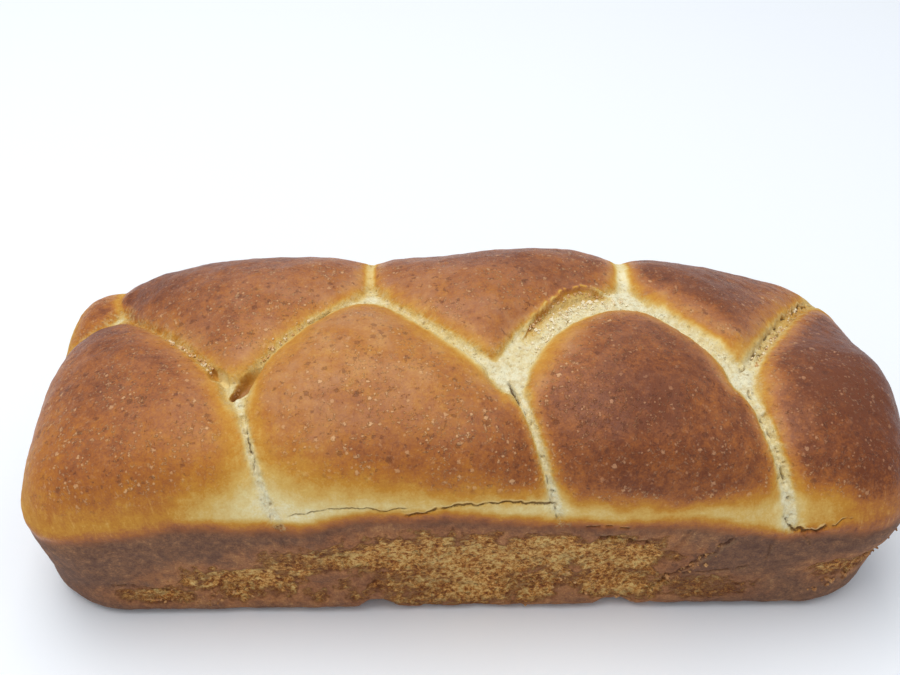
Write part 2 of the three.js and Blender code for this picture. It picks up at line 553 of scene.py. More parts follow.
SEAMS = (
    Seam(
        "leftTop", "frontLeft", 2.5, 0.5, Border(0.1, 3.0, 10), Border(0.1, 3.6, 11), (0.50, 0.32),
        porous=0.6, stretched=0.5,
    ),
    Seam(
        "frontLeft", "backLeft", 5.5, 0.4, Border(0.2, 2.4, 7), Border(0.4, 5.0, 14), (0.42, 0.24),
        porous=0.5, stretched=0.45,
        cracks=(
            Crack(offset=0.3, wander=0.3, width=0.4, closed=0.0, first=0.58, last=0.8, painted_shade=0.6),
        ),
    ),
    Seam(
        "backLeft", "frontMiddle", 0, 1.2, Border(0.2, 2.0, 8), Border(0.6, 5.5, 14), (0.32, 0.06),
        stretched=0.6,
        cracks=(Crack(offset=0.4, wander=1.2, width=0.3, closed=0.7, painted_shade=0.5),),
    ),
    Seam(
        "frontMiddle", "backRight", 8.5, 5.0, Border(0.1, 1.4, 4.0), Border(0.3, 3.4, 14),
        (0.07, 0.08), porous=1.4, stretched=0.6,
    ),
    Seam(
        "backRight", "frontRight", 3, 2.0, Border(0.2, 4.8, 17), Border(0.8, 3.8, 14), (0.05, 0.05),
        porous=0.5,
        cracks=(Crack(offset=-3.6, wander=0.6, width=0.3, closed=0.6, first=0.5, painted_shade=0.4),),
    ),
    Seam(
        "frontRight", "endRight", 3.5, 1.6, Border(0.2, 4.2, 14), Border(0.1, 3.0, 9), (0.06, 0.56),
        porous=1.3, stretched=0.8,
        cracks=(
            Crack(offset=0.8, wander=1.6, width=0.45, closed=0.35, last=0.9, painted_shade=0.85),
            Crack(offset=-1.4, wander=1.8, width=0.35, closed=0.6, last=0.9, painted_shade=0.7),
        ),
    ),
    Seam(
        "frontLeft", "footLeft", 0, 0.4, Border(0.1, 2.2, 12), Border(0.1, 2.2, 13), (0.14, 0.08),
        porous=0.8,
        cracks=(
            Crack(wander=1.3, width=0.3, depth=0.7, closed=0.4, first=0.25, painted_shade=0.7),
            Crack(offset=-0.9, wander=1.6, width=0.25, depth=0.5, closed=0.7, first=0.4, painted_shade=0.6),
        ),
    ),
    Seam(
        "frontMiddle", "footMiddle", 1, 0.6, Border(0.2, 2.0, 6), Border(0.1, 1.4, 4.5), (0.08, 0.08),
        porous=0.4,
        cracks=(
            Crack(offset=-1.1, wander=0.3, width=0.55, depth=2.2, closed=0.0, last=0.24, painted_shade=0.9),
            Crack(offset=-0.6, wander=0.4, width=0.25, depth=0.8, closed=0.5, first=0.2, painted_shade=0.5),
        ),
    ),
    Seam(
        "frontRight", "footRight", 0.75, 1.2, Border(0.2, 2.2, 7), Border(0.3, 2.4, 7.5),
        (0.07, 0.10), porous=1.2,
        cracks=(
            Crack(offset=0.3, wander=1.0, width=0.5, depth=1.5, closed=0.5, painted_shade=0.6),
            Crack(offset=-1.2, wander=0.8, width=0.3, depth=0.8, closed=0.8, painted_shade=0.5),
        ),
    ),
    Seam(
        "leftTop", "heelFarLeft", 0, 0.5, Border(0.3, 2.5, 8), Border(0.1, 1.6, 5), (0.50, 0.35),
        porous=0.4, stretched=0.7, hold=0.2,
    ),
    Seam(
        "leftTop", "endLeft", 3, 0.6, Border(0.1, 1.8, 6), Border(0.2, 2.5, 9), (0.48, 0.30),
        porous=0.4, stretched=0.7,
    ),
    Seam(
        "backLeft", "heelLeft", 2, 0.7, Border(0.3, 2.5, 8), Border(0.2, 2.0, 7), (0.28, 0.12),
        hold=0.15,
        cracks=(Crack(wander=0.8, closed=0.6, first=0.3, painted_shade=0.6),),
    ),
    Seam(
        "backRight", "heelRight", 2, 1.0, Border(0.4, 2.6, 8), Border(0.4, 3.0, 9), (0.08, 0.10),
        hold=0.1,
        cracks=(Crack(wander=0.8, closed=0.6, first=0.3, painted_shade=0.6),),
    ),
)

OVEN_MARKS = (
    # The front left lobe is brown on top and golden towards the tin and its end
    OvenMark((-107, -15, 87), 0.80), OvenMark((-113, -43, 80), 0.76),
    OvenMark((-106, -58, 67), 0.66), OvenMark((-140, -50, 69), 0.72),
    OvenMark((-84, -60, 64), 0.50), OvenMark((-88, -40, 85), 0.66),
    OvenMark((-138, -22, 80), 0.88), OvenMark((-156, -44, 56), 0.42),
    # The lobe behind it at the left end
    OvenMark((-140, 38, 72), 0.90), OvenMark((-150, 30, 55), 0.84),
    OvenMark((-152, -18, 60), 0.66),
    # The long lobe at the back left
    OvenMark((-78, 13, 92), 0.74), OvenMark((-104, 13, 88), 0.80),
    OvenMark((-49, 15, 95), 0.68), OvenMark((-80, 42, 80), 0.88),
    OvenMark((-124, 26, 80), 0.98), OvenMark((-45, 44, 86), 0.80),
    # The front middle lobe is light on top, partly browning and partly a painted sheen, and brown
    # along its front
    OvenMark((-33, -25, 95), 0.55), OvenMark((-30, -43, 88), 0.70),
    OvenMark((-23, -56, 75), 0.72), OvenMark((10, -49, 84), 0.78),
    OvenMark((-59, -48, 84), 0.62), OvenMark((-54, -19, 94), 0.58),
    OvenMark((-8, -36, 92), 0.58),
    # The back middle lobe
    OvenMark((9, 6, 97), 0.74), OvenMark((-16, 13, 97), 0.68), OvenMark((45, 32, 94), 0.82),
    OvenMark((22, -19, 96), 0.56), OvenMark((10, 40, 86), 0.90), OvenMark((-16, 44, 86), 0.84),
    # The front right dome is the darkest
    OvenMark((58, -36, 90), 0.98), OvenMark((61, -17, 94), 0.86), OvenMark((57, -57, 73), 0.88),
    OvenMark((30, -41, 90), 0.92), OvenMark((91, -50, 79), 0.88),
    # The back right lobe
    OvenMark((91, 23, 89), 1.0), OvenMark((99, 0, 89), 0.94), OvenMark((123, 18, 82), 0.80),
    OvenMark((95, 44, 78), 0.90),
    # The right end
    OvenMark((131, -29, 78), 1.05), OvenMark((129, -55, 69), 0.94), OvenMark((138, 4, 76), 1.05),
    OvenMark((112, -48, 77), 0.86), OvenMark((122, -4, 82), 0.98),
)

CROWNS = (
    Crown((28, 30, 92), 30, 2.4),
    Crown((-18, 44, 90), 24, -2.5),
    Crown((62, -34, 86), 26, 1.5),
    Crown((129, 28, 77), 24, -8),
    Crown((156, -12, 62), 24, 10),
    Crown((-144, 36, 72), 22, 3.0),
    Crown((-80, 24, 88), 36, 1),
)


@dataclass
class Plait:
    """The three-strand plait: seams that stay low, and lobes that swell between them."""

    body: TinLoaf
    grain: Grain
    seams: tuple[Seam, ...] = SEAMS
    marks: tuple[OvenMark, ...] = OVEN_MARKS
    crowns: tuple[Crown, ...] = CROWNS
    lobe_rise: float = 8.5
    lobe_shoulder: float = 26.0
    lobe_section: float = 0.66
    fade_below: float = 4.0
    fade_above: float = 30.0
    seam_blend: float = 3.0
    hold_from: float = 0.3
    line_steps: int = 20
    mark_reach: float = 17.0
    far_weight: float = 1e-4
    wobble: tuple[Layer, ...] = (Layer(0.9, 9), Layer(0.7, 3.5, 2, 50))
    least_wobble: float = 0.3
    full_wobble: float = 5.0
    side_fade: float = 1.5
    golden_part: float = 0.55
    brown_part: float = 0.45
    brown_start: float = 0.5
    lines: list[CrustLine] = field(init=False)

    def __post_init__(self) -> None:
        """Lays each seam's line on the body."""
        self.lines = [CrustLine(self._path(seam), self.body) for seam in self.seams]

    def _path(self, seam: Seam) -> Array:
        """Bows a seam sideways between its junctions and sets it onto the body.

        Args:
            seam: The seam.

        Returns:
            Places along it.
        """
        start = np.array([JUNCTIONS[seam.start]], float)
        end = np.array([JUNCTIONS[seam.end]], float)
        middle = (start + end) / 2
        sideways = unit(np.cross(self.body.normals(self.body.onto(middle)), unit(end - start)))
        control = middle + sideways * 2 * seam.bow
        share = np.linspace(0, 1, self.line_steps + 1)[:, None]
        curve = (1 - share) ** 2 * start + 2 * share * (1 - share) * control + share**2 * end
        return self.body.onto(curve)

    def traces(self, points: Array) -> list[Trace]:
        """Measures points from every seam."""
        return [line.trace(points) for line in self.lines]

    def gap(self, traces: Sequence[Trace]) -> Array:
        """Gives the distance to the nearest seam floor, blended where seams meet.

        Args:
            traces: The points measured from every seam.

        Returns:
            Distances, 0 on the floors.
        """
        total = sum(
            np.exp(-np.maximum(trace.distance - seam.half_width, 0) / self.seam_blend)
            * blend(smooth(trace.share, 0, self.hold_from), 1.0, seam.hold)
            for seam, trace in zip(self.seams, traces)
        )
        far = self.lobe_shoulder * 2
        return np.clip(-self.seam_blend * np.log(np.maximum(total, TINY)), 0, far)

    def rise(self, points: Array, gap: Array) -> Array:
        """Gives the height of the lobes over the body.

        Args:
            points: Places on the body.
            gap: Their distance to the nearest seam floor.

        Returns:
            Heights in millimetres, none on the walls that the tin held.
        """
        share = np.minimum(gap / self.lobe_shoulder, 1)
        rim = self.body.rim_height
        free = smooth(points[:, 2], rim - self.fade_below, rim + self.fade_above)
        round_rise = self.lobe_rise * (1 - (1 - share) ** 2) ** self.lobe_section
        extra = sum(
            crown.rise * bell(np.linalg.norm(points - crown.middle, axis=1), width=crown.radius)
            for crown in self.crowns
        )
        return (round_rise + extra * share) * free

    def bake(self, points: Array, traces: Sequence[Trace]) -> Array:
        """Gives how brown the crust is.

        Args:
            points: Places on the body.
            traces: The points measured from every seam.

        Returns:
            Shares from 0, pale crumb, to 1, the darkest crust.
        """
        wobble = self.grain.relief(points, *self.wobble)
        total = self._oven(points)
        for seam, trace in zip(self.seams, traces):
            to_left = smooth(trace.side, -self.side_fade, self.side_fade)
            pale = blend(to_left, seam.right.pale, seam.left.pale)
            golden = blend(to_left, seam.right.golden, seam.left.golden)
            brown = blend(to_left, seam.right.brown, seam.left.brown)
            moved = wobble * np.clip(golden / self.full_wobble, self.least_wobble, 1)
            beyond = trace.distance - seam.half_width + moved
            rise = self.golden_part * smooth(beyond, pale, golden)
            rise += self.brown_part * smooth(beyond, self.brown_start * golden, brown)
            palest = blend(trace.share, *seam.palest)
            total *= blend(rise, palest, 1.0)
        return total

    def _oven(self, points: Array) -> Array:
        """Blends the oven's marks round each point.

        Args:
            points: Places on the body.

        Returns:
            How brown the oven made them.
        """
        total, weight = np.zeros((2, len(points)))
        for mark in self.marks:
            away = np.linalg.norm(points - mark.place, axis=1) / self.mark_reach
            share = bell(away) + self.far_weight / (1 + away**2)
            total += share * mark.brown
            weight += share
        return total / weight


@dataclass(frozen=True)
class Lip:
    """A ragged edge of crust that stands over the seam floor: its places as x and y, left to right.

    The side away from the floor is the left one. Sizes are in millimetres, and its fades with
    distance are in shares of its reach.
    """

    places: tuple[tuple[float, float], ...]
    height: float
    lean: float
    drop: float
    reach: float
    guide_height: float = 10.0
    ragged: Layer = Layer(0.9, 5, 3, 20)
    end_fade: float = 0.15
    widest: float = 3.0
    reach_fade: Fade = (2.6, 1.8)
    ridge: Bell = (0.7, 0.8)
    ridge_level: float = 0.8
    ridge_waves: Layer = Layer(0.5, 3, 2)
    hollow_start: Fade = (0.2, -0.7)
    hollow_end: Fade = (-1.0, -0.3)
    covered_start: Fade = (0.5, -0.2)
    covered_end: Fade = (-1.9, -1.2)
    # The pale ragged edge is a painted highlight along the lip's crest, partly the thin crust's own
    # paler edge
    edge: Bell = (0.9, 0.5)
    edge_gaps: Layer = Layer(1.0, 2.2, 2, 80)
    edge_gap_fade: Fade = (-0.5, 0.2)
    highlight_edge_bake: float = 0.22
    # Painted shade on the covered floor: a wider golden-brown fade, partly browning, and a dark
    # shadow line right under the lip
    least_shade: float = 0.05
    wide_shade: float = 0.20
    wide_shade_fade: Fade = (-1.5, -0.1)
    shadow_line: float = 0.30
    shadow_line_bell: Bell = (-0.1, 0.4)

    def line(self, body: TinLoaf) -> CrustLine:
        """Lays the lip on the body."""
        high = body.crown_height + self.guide_height
        return CrustLine(body.onto(np.array([(x, y, high) for x, y in self.places])), body)

    def fade(self, distance: Array, limits: Fade) -> Array:
        """Eases between two distances that are given as shares of the lip's reach."""
        return smooth(distance, self.reach * limits[0], self.reach * limits[1])

    def hollow(self, side: Array) -> Array:
        """Gives the share of the hollow under the lip."""
        return smooth(side, *self.hollow_start) * self.fade(side, self.hollow_end)

    def covered(self, side: Array) -> Array:
        """Gives the share of floor that gets the lip's painted shade."""
        return smooth(side, *self.covered_start) * self.fade(side, self.covered_end)

    def shade(self, side: Array) -> Array:
        """Gives the painted shade on the covered floor: a dark shadow line under the lip and a wider
        fade that is partly browning.
        """
        wide = self.least_shade + self.wide_shade * self.fade(side, self.wide_shade_fade)
        return wide + self.shadow_line * bell(side, *self.shadow_line_bell)


LIPS = (
    Lip(
        ((19, -13), (22, -4), (26, 4), (32, 13), (38, 20), (44, 24), (51, 25.5), (58, 24)),
        height=1.0, lean=0.8, drop=0.8, reach=5.0,
    ),
)


class Wall(Enum):
    """The two long walls of the loaf, by the sign of Y that they face."""

    FRONT = -1.0
    BACK = 1.0


@dataclass(frozen=True)
class TornPatch:
    """Where crust stayed on the tin and the crumb shows: a rough ellipse on a long wall."""

    x: float
    z: float
    half_length: float
    half_height: float
    wall: Wall = Wall.FRONT
    strength: float = 1.0


@dataclass(frozen=True)
class Hollow:
    """A shallow hollow in a wall, or a nick in the base edge."""

    middle: Place
    half_length: float
    half_height: float
    depth: float


@dataclass(frozen=True)
class WallLine:
    """A crack or crease on a long wall, through places given as x and z."""

    places: tuple[tuple[float, float], ...]
    crack: Crack
    wall: Wall = Wall.FRONT


TORN_PATCHES = (
    TornPatch(-80, 19, 26, 11),
    TornPatch(-62, 31, 16, 10, strength=0.8),
    TornPatch(-108, 12, 18, 6, strength=0.75),
    TornPatch(-33, 35, 20, 12),
    TornPatch(-4, 33, 36, 19),
    TornPatch(27, 34, 20, 17),
    TornPatch(33, 43, 4, 9, strength=0.8),
    TornPatch(-2, 14, 48, 14, strength=0.85),
    TornPatch(53, 33, 21, 15),
    TornPatch(54, 15, 20, 12, strength=0.9),
    TornPatch(88, 15, 17, 7, strength=0.55),
    TornPatch(142, 26, 18, 7, strength=0.8),
    TornPatch(20, 27, 42, 17, Wall.BACK, 0.85),
    TornPatch(-84, 22, 30, 13, Wall.BACK, 0.8),
    TornPatch(96, 16, 26, 10, Wall.BACK, 0.7),
    TornPatch(-30, 12, 30, 8, Wall.BACK, 0.6),
)

HOLLOWS = (
    Hollow((-7, -59, 25), 38, 17, 1.6),
    Hollow((-76, -59, 17), 17, 12, 1.2),
    Hollow((59, -59, 27), 14, 13, 1.3),
    Hollow((-32, -57, 2), 6, 6, 2.6),
    Hollow((55, -57, 2), 6, 6, 2.4),
    Hollow((20, 59, 24), 30, 14, 1.4),
    Hollow((-84, 59, 20), 20, 12, 1.2),
)

WALL_LINES = (
    # The strip's two long cracks, which pass each other
    WallLine(
        ((-62, 56.5), (-56, 59), (-48, 61.5), (-37, 62), (-27, 60.5), (-19, 62)),
        Crack(wander=1.0, width=0.28, depth=0.6, closed=0.12, painted_shade=0.6),
    ),
    WallLine(
        ((-24, 58.5), (-16, 59.5), (-8, 62), (4, 63.5), (14, 64), (24, 62), (31, 59.5)),
        Crack(wander=0.8, width=0.42, depth=0.9, closed=0.1, painted_shade=0.8),
    ),
    WallLine(((34, 51), (46, 52), (58, 50)), Crack(wander=0.5, width=0.3, closed=0.45, painted_shade=0.6)),
    WallLine(((7, 70), (6, 65), (4, 61)), Crack(wander=0.7, width=0.25, depth=0.5, painted_shade=0.3)),
    # The short crack at the right foot
    WallLine(
        ((108, 53.5), (110, 50), (113, 47.5)),
        Crack(wander=0.8, width=0.3, depth=0.7, closed=0.2, painted_shade=0.7),
    ),
    WallLine(
        ((110, 51), (112, 48), (114, 48.4), (115.5, 46.4), (117.5, 48), (120.5, 47.6), (124, 50)),
        Crack(wander=0.8, width=0.6, depth=1.4, closed=0.0, painted_shade=0.95),
    ),
    WallLine(
        ((121, 48.2), (123, 50.2), (126, 49.8), (129, 52.2), (133, 52.6)),
        Crack(wander=0.6, width=0.3, depth=0.6, closed=0.3, painted_shade=0.7),
    ),
    # Creases of the band
    WallLine(
        ((44, 46.5), (52, 44.5), (63, 42)),
        Crack(wander=0.8, width=0.8, depth=1.6, closed=0.1, painted_shade=0.5),
    ),
    WallLine(((-61, 45), (-43, 34), (-29, 11)), Crack(width=0.9, depth=0.9, closed=0.1, painted_shade=0.2)),
    WallLine(((-50, 39), (-38, 36), (-26, 35)), Crack(width=0.5, depth=0.6, closed=0.3, painted_shade=0.25)),
    WallLine(
        ((-63, 48), (-62.5, 30), (-62, 12)), Crack(width=0.5, depth=0.5, closed=0.4, painted_shade=0.2)),
    WallLine(((106, 47), (105.5, 30), (105, 8)), Crack(width=0.5, depth=0.6, closed=0.35, painted_shade=0.3)),
    WallLine(((76, 50), (72, 38), (68, 26)), Crack(width=1.0, depth=0.9, closed=0.0, painted_shade=0.2)),
    WallLine(
        ((92, 47), (82, 32), (64, 8)),
        Crack(wander=1.6, width=0.9, depth=1.0, closed=0.1, painted_shade=0.45),
    ),
    WallLine(
        ((101, 28), (88, 24), (76, 22)),
        Crack(wander=1.2, width=0.6, depth=0.8, closed=0.3, painted_shade=0.4),
    ),
    WallLine(
        ((-129, 19), (-116, 17), (-104, 12)),
        Crack(wander=1.0, width=0.5, depth=0.9, closed=0.2, painted_shade=0.5),
    ),
    WallLine(
        ((-80, 57), (-40, 55), (0, 58), (44, 54)),
        Crack(wander=1.2, width=0.3, depth=0.6, closed=0.5, painted_shade=0.45), Wall.BACK,
    ),
    WallLine(
        ((-26, 50), (-25, 30), (-27, 8)),
        Crack(width=0.6, depth=0.7, closed=0.3, painted_shade=0.2), Wall.BACK,
    ),
    WallLine(
        ((71, 50), (60, 30), (42, 6)), Crack(width=0.7, depth=0.7, closed=0.2, painted_shade=0.2), Wall.BACK,
    ),
)


class Rim(Enum):
    """What a rim knot gives, by its column. The value of each off the front is in PLAIN_RIM."""

    TOP = 1
    PALE_TO = 2
    BROWN_FROM = 3
    PALENESS = 4


PLAIN_RIM = {Rim.TOP: 52.0, Rim.PALE_TO: 5.0, Rim.BROWN_FROM: 16.0, Rim.PALENESS: 0.74}


@dataclass
class TinSide:
    """The walls that the tin held: a matte band under a pale strip, with torn patches.

    The rim knots run along the front: x, the band's top edge, how far above it the strip stays
    pale, how far above it the crust is brown, and how pale the strip gets.
    """

    body: TinLoaf
    grain: Grain
    rim_knots: tuple[tuple[float, float, float, float, float], ...] = (
        (-155, 44, 3, 16, 0.22),
        (-124, 48.5, 4, 15, 0.36),
        (-100, 54, 1, 13, 0.42),
        (-77, 52.5, 9, 22, 0.72),
        (-56, 52, 8, 26, 0.80),
        (-38, 56.5, 4, 19, 0.82),
        (-7, 57.5, 3.5, 15, 0.70),
        (20, 54, 6, 16, 0.82),
        (44, 52, 5, 16, 0.78),
        (70, 53, 3, 11, 0.72),
        (96, 50, 7, 18, 0.76),
        (109, 46.5, 11, 21, 0.70),
        (124, 48, 9, 18, 0.64),
        (145, 48.5, 4, 12, 0.30),
    )
    front_fade: Fade = (45.0, -35.0)
    ragged_rim: tuple[Layer, ...] = (Layer(1.2, 14), Layer(0.6, 4, 2, 30))
    strip_wobble: Layer = Layer(1.4, 11, 2, 70)
    even_part: float = 0.6
    eased_part: float = 0.4
    ragged_patch: tuple[Layer, ...] = (Layer(0.35, 9, 2), Layer(0.25, 2.8, 2, 40))
    facing_fade: Fade = (35.0, 50.0)
    torn_fade: Fade = (-0.15, 0.5)
    torn_top: Fade = (-3.0, -7.0)
    thin_reach: float = 1.5
    thin_fade: Fade = (-0.3, 0.9)
    thin_top: Fade = (-2.0, -7.0)
    overhang: float = 3.0
    overhang_reach: float = 30.0
    hollow_reach: float = 20.0
    hollow_power: int = 4
    patches: tuple[TornPatch, ...] = TORN_PATCHES
    hollows: tuple[Hollow, ...] = HOLLOWS
    lines: tuple[WallLine, ...] = WALL_LINES
    line_steps: int = 16
    crust_lines: list[CrustLine] = field(init=False)

    def __post_init__(self) -> None:
        """Lays the cracks and creases on the walls."""
        self.crust_lines = [CrustLine(self._path(line), self.body) for line in self.lines]

    def _path(self, line: WallLine) -> Array:
        """Sets a wall line's places onto the body.

        Args:
            line: The crack or crease.

        Returns:
            Places along it.
        """
        knots = np.array(line.places, float)
        share = np.linspace(0, 1, len(knots))
        steps = np.linspace(0, 1, self.line_steps + 1)
        x, z = (np.interp(steps, share, knots[:, axis]) for axis in range(2))
        y = np.full(len(steps), line.wall.value * self.body.width / 2)
        return self.body.onto(np.stack([x, y, z], axis=1))

    def _rim(self, points: Array, wanted: Rim) -> Array:
        """Reads one value of the rim at points.

        Args:
            points: Places on the body.
            wanted: Which value.

        Returns:
            The value, from the knots on the front and plain elsewhere.
        """
        knots = np.array(self.rim_knots)
        front = np.interp(points[:, 0], knots[:, 0], knots[:, wanted.value])
        return blend(smooth(points[:, 1], *self.front_fade), PLAIN_RIM[wanted], front)

    def above_rim(self, points: Array) -> Array:
        """Gives the height above the band's ragged top edge."""
        ragged = self.grain.relief(points, *self.ragged_rim)
        return points[:, 2] - self._rim(points, Rim.TOP) + ragged

    def strip_bake(self, points: Array, above: Array) -> Array:
        """Gives how brown the strip above the band is.

        Args:
            points: Places on the body.
            above: Their height above the band.

        Returns:
            Shares from 0, pale, to 1, as brown as the lobes.
        """
        pale_to = self._rim(points, Rim.PALE_TO)
        brown_from = self._rim(points, Rim.BROWN_FROM)
        wobble = self.grain.relief(points, self.strip_wobble)
        share = np.clip((above + wobble - pale_to) / (brown_from - pale_to), 0, 1)
        rise = self.even_part * share + self.eased_part * smooth(share, 0, 1)
        return 1 - self._rim(points, Rim.PALENESS) * (1 - rise)

    def torn(self, points: Array, above: Array) -> tuple[Array, Array]:
        """Gives how far the crust is torn away, and how thin it is.

        Args:
            points: Places on the body.
            above: Their height above the band.

        Returns:
            Shares from 0, whole crust, to 1, bare crumb, and the same for the thinner crust that
            reaches further out.
        """
        x, y, z = points.T
        ragged = self.grain.relief(points, *self.ragged_patch)
        torn, thin = np.zeros((2, len(points)))
        for patch in self.patches:
            reach = np.hypot((x - patch.x) / patch.half_length, (z - patch.z) / patch.half_height)
            facing = smooth(y * patch.wall.value, *self.facing_fade) * patch.strength
            torn = np.maximum(torn, smooth(1 - reach + ragged, *self.torn_fade) * facing)
            thinner = smooth(self.thin_reach - reach + ragged, *self.thin_fade) * facing
            thin = np.maximum(thin, thinner)
        return torn * smooth(above, *self.torn_top), thin * smooth(above, *self.thin_top)

    def relief(self, points: Array) -> Array:
        """Gives the overhang above the rim, less the hollows and nicks.

        Args:
            points: Places on the body.

        Returns:
            Heights in millimetres.
        """
        x, y, z = points.T
        from_rim = np.abs(z - self.body.rim_height)
        total = self.overhang * np.maximum(1 - from_rim / self.overhang_reach, 0)
        for hollow in self.hollows:
            away = np.sqrt(
                ((x - hollow.middle[0]) / hollow.half_length) ** 2
                + ((y - hollow.middle[1]) / self.hollow_reach) ** 2
                + ((z - hollow.middle[2]) / hollow.half_height) ** 2)
            total -= hollow.depth * np.exp(-(away**self.hollow_power))
        return total


@dataclass(frozen=True)
class Pocket:
    """A deep pit in the crust between two places, widest half way. The browns are its two ends', and
    a dark end is partly painted shade.
    """

    start: Place
    end: Place
    start_radius: float
    end_radius: float
    depth: float
    browns: tuple[float, float]
    taper: float = 0.5
    ragged: Layer = Layer(0.15, 2.5, 2)
    wall_power: int = 4
    mouth: float = 1.25
    mouth_power: int = 6


POCKETS = (
    # The first pocket's dark start is partly browning and partly painted shade in its deep end
    Pocket((-80, -32, 84), (-71, -20, 87), 2.3, 2.3, 3.2, (0.90, 0.14)),
    Pocket((-89, -17.5, 86), (-87.5, -23.5, 85), 1.3, 1.5, 1.5, (0.44, 0.34)),
    Pocket((-86.5, -20, 86), (-83, -26, 84.5), 1.6, 1.8, 1.2, (0.20, 0.12)),
)


@dataclass
class Skin:
    """What is known of the crust at each point of the net. The finishes become attributes."""

    places: Array
    detail: Array
    finishes: dict[str, Array]


@dataclass(frozen=True)
class Texture:
    """The fine relief of the crust, in millimetres, and where each kind of it starts."""

    bumps: Layer = Layer(0.35, 8, 3)
    porous: Layer = Layer(0.60, 2.8, 3, 11)
    leather: Layer = Layer(0.28, 9, 3, 23)
    crumb: Layer = Layer(0.9, 2.6, 3, 37)
    crumb_sunk: float = 1.0
    crumb_stretch: Place = (0.8, 1.0, 1.0)
    ragged_base: Layer = Layer(0.6, 8, 3, 59)
    base_fade: Fade = (6.0, 0.0)
    fine_fade: Fade = (0.0, 3.0)
    ledge: float = 0.5
    ledge_fade: Fade = (-2.0, 1.5)
    band_fade: Fade = (-0.5, -4.5)
    floor_fade: Fade = (3.2, 0.4)
    tin_fade: Fade = (-2.2, 4.2)
    band_bake: float = 0.8


@dataclass(frozen=True)
class Pits:
    """The small pits of the seam floors, with painted shade in them: sizes in millimetres, places as
    shares of a seam.
    """

    per_seam: int = 9
    places: Range = (0.04, 0.96)
    spread: float = 0.6
    least_spread: float = 0.4
    radii: Range = (0.35, 0.8)
    depths: Range = (0.4, 1.3)
    # How much painted shade darkens a pit
    painted_shade: float = 0.8
    reach: float = 4.0

    def scatter(self, plait: Plait, draw: np.random.Generator) -> Array:
        """Scatters pits over the seam floors.

        Args:
            plait: The seams.
            draw: Source of the random draws.

        Returns:
            Rows of place, radius and depth.
        """
        rows = []
        for seam, line in zip(plait.seams, plait.lines):
            for _ in range(round(self.per_seam * seam.porous)):
                share = draw.uniform(*self.places) * (len(line.places) - 1)
                index = int(share)
                place = line.places[index] + (share - index) * line.steps[index]
                aside = draw.normal() * (seam.half_width * self.spread + self.least_spread)
                place = place + line.sideways[index] * aside
                rows.append([*place, draw.uniform(*self.radii), draw.uniform(*self.depths)])
        return np.array(rows)


@dataclass(frozen=True)
class StretchMarks:
    """Marks that run out from the seams and up from the rim, where the crust was drawn out."""

    rim_strength: float = 0.7
    rim_lean: float = 0.4
    rim_fade: Fade = (22.0, 4.0)
    towards_ends: Fade = (70.0, 110.0)
    end_strengths: Range = (0.25, 0.8)
    seam_lean: float = 0.5
    seam_fade: Fade = (12.0, 1.0)
    seam_ends: float = 0.1

    def measure(
        self, body: Array, above: Array, seams: Sequence[Seam], traces: Sequence[Trace],
    ) -> tuple[Array, Array, Array]:
        """Measures the marks.

        Args:
            body: Places on the body.
            above: Height above the tin band.
            seams: The seams.
            traces: The points measured from every seam.

        Returns:
            How far along the seam or the rim each point is, how far away, and the marks' strength.
        """
        run = body[:, 0] + self.rim_lean * body[:, 1]
        away = above.copy()
        to_ends = blend(smooth(np.abs(body[:, 0]), *self.towards_ends), *self.end_strengths)
        strength = self.rim_strength * to_ends * smooth(above, *self.rim_fade)
        for seam, trace in zip(seams, traces):
            own = seam.stretched * smooth(trace.distance, *self.seam_fade)
            own *= between(trace.share, self.seam_ends)
            stronger = own > strength
            run[stronger] = (trace.along - self.seam_lean * np.abs(trace.side))[stronger]
            away[stronger] = trace.distance[stronger]
            strength = np.maximum(strength, own)
        return run, away, strength


@dataclass(frozen=True)
class Fineness:
    """Where the mesh has to be finer: floors, torn edges, lips and splits, and most near a split."""

    floor: Fade = (3.6, 2.8)
    floor_from: float = -2.0
    torn: Fade = (0.08, 0.25)
    covered: Fade = (0.05, 0.3)
    split: float = 0.1
    beside_split: Fade = (3.5, 2.5)
    shaded_split: float = 0.25
    pit_shade: Fade = (0.1, 0.3)
    deep_cover: Fade = (0.2, 0.5)

    def wanted(
        self, gap: Array, above: Array, finishes: dict[str, Array], covered: Array,
    ) -> Array:
        """Gives how fine the mesh has to be at each point: 1 is one division, 2 is two.

        Args:
            gap: Distance to the nearest seam floor.
            above: Height above the tin band.
            finishes: The crust's finishes.
            covered: Share of the floor under a lip, or of a pocket.

        Returns:
            Wanted levels of division.
        """
        floors = smooth(gap, *self.floor) * (above > self.floor_from)
        torn_edges = smooth(finishes["torn"], *self.torn)
        lips = smooth(covered, *self.covered)
        splits = (finishes["split"] > self.split) * 1.0
        deepest = smooth(np.abs(finishes["split_side"]), *self.beside_split)
        deepest *= finishes["split"] > self.shaded_split
        deepest += smooth(finishes["pit_shade"], *self.pit_shade) + smooth(covered, *self.deep_cover)
        return np.maximum.reduce([floors, torn_edges, lips, splits]) + np.minimum(deepest, 1)


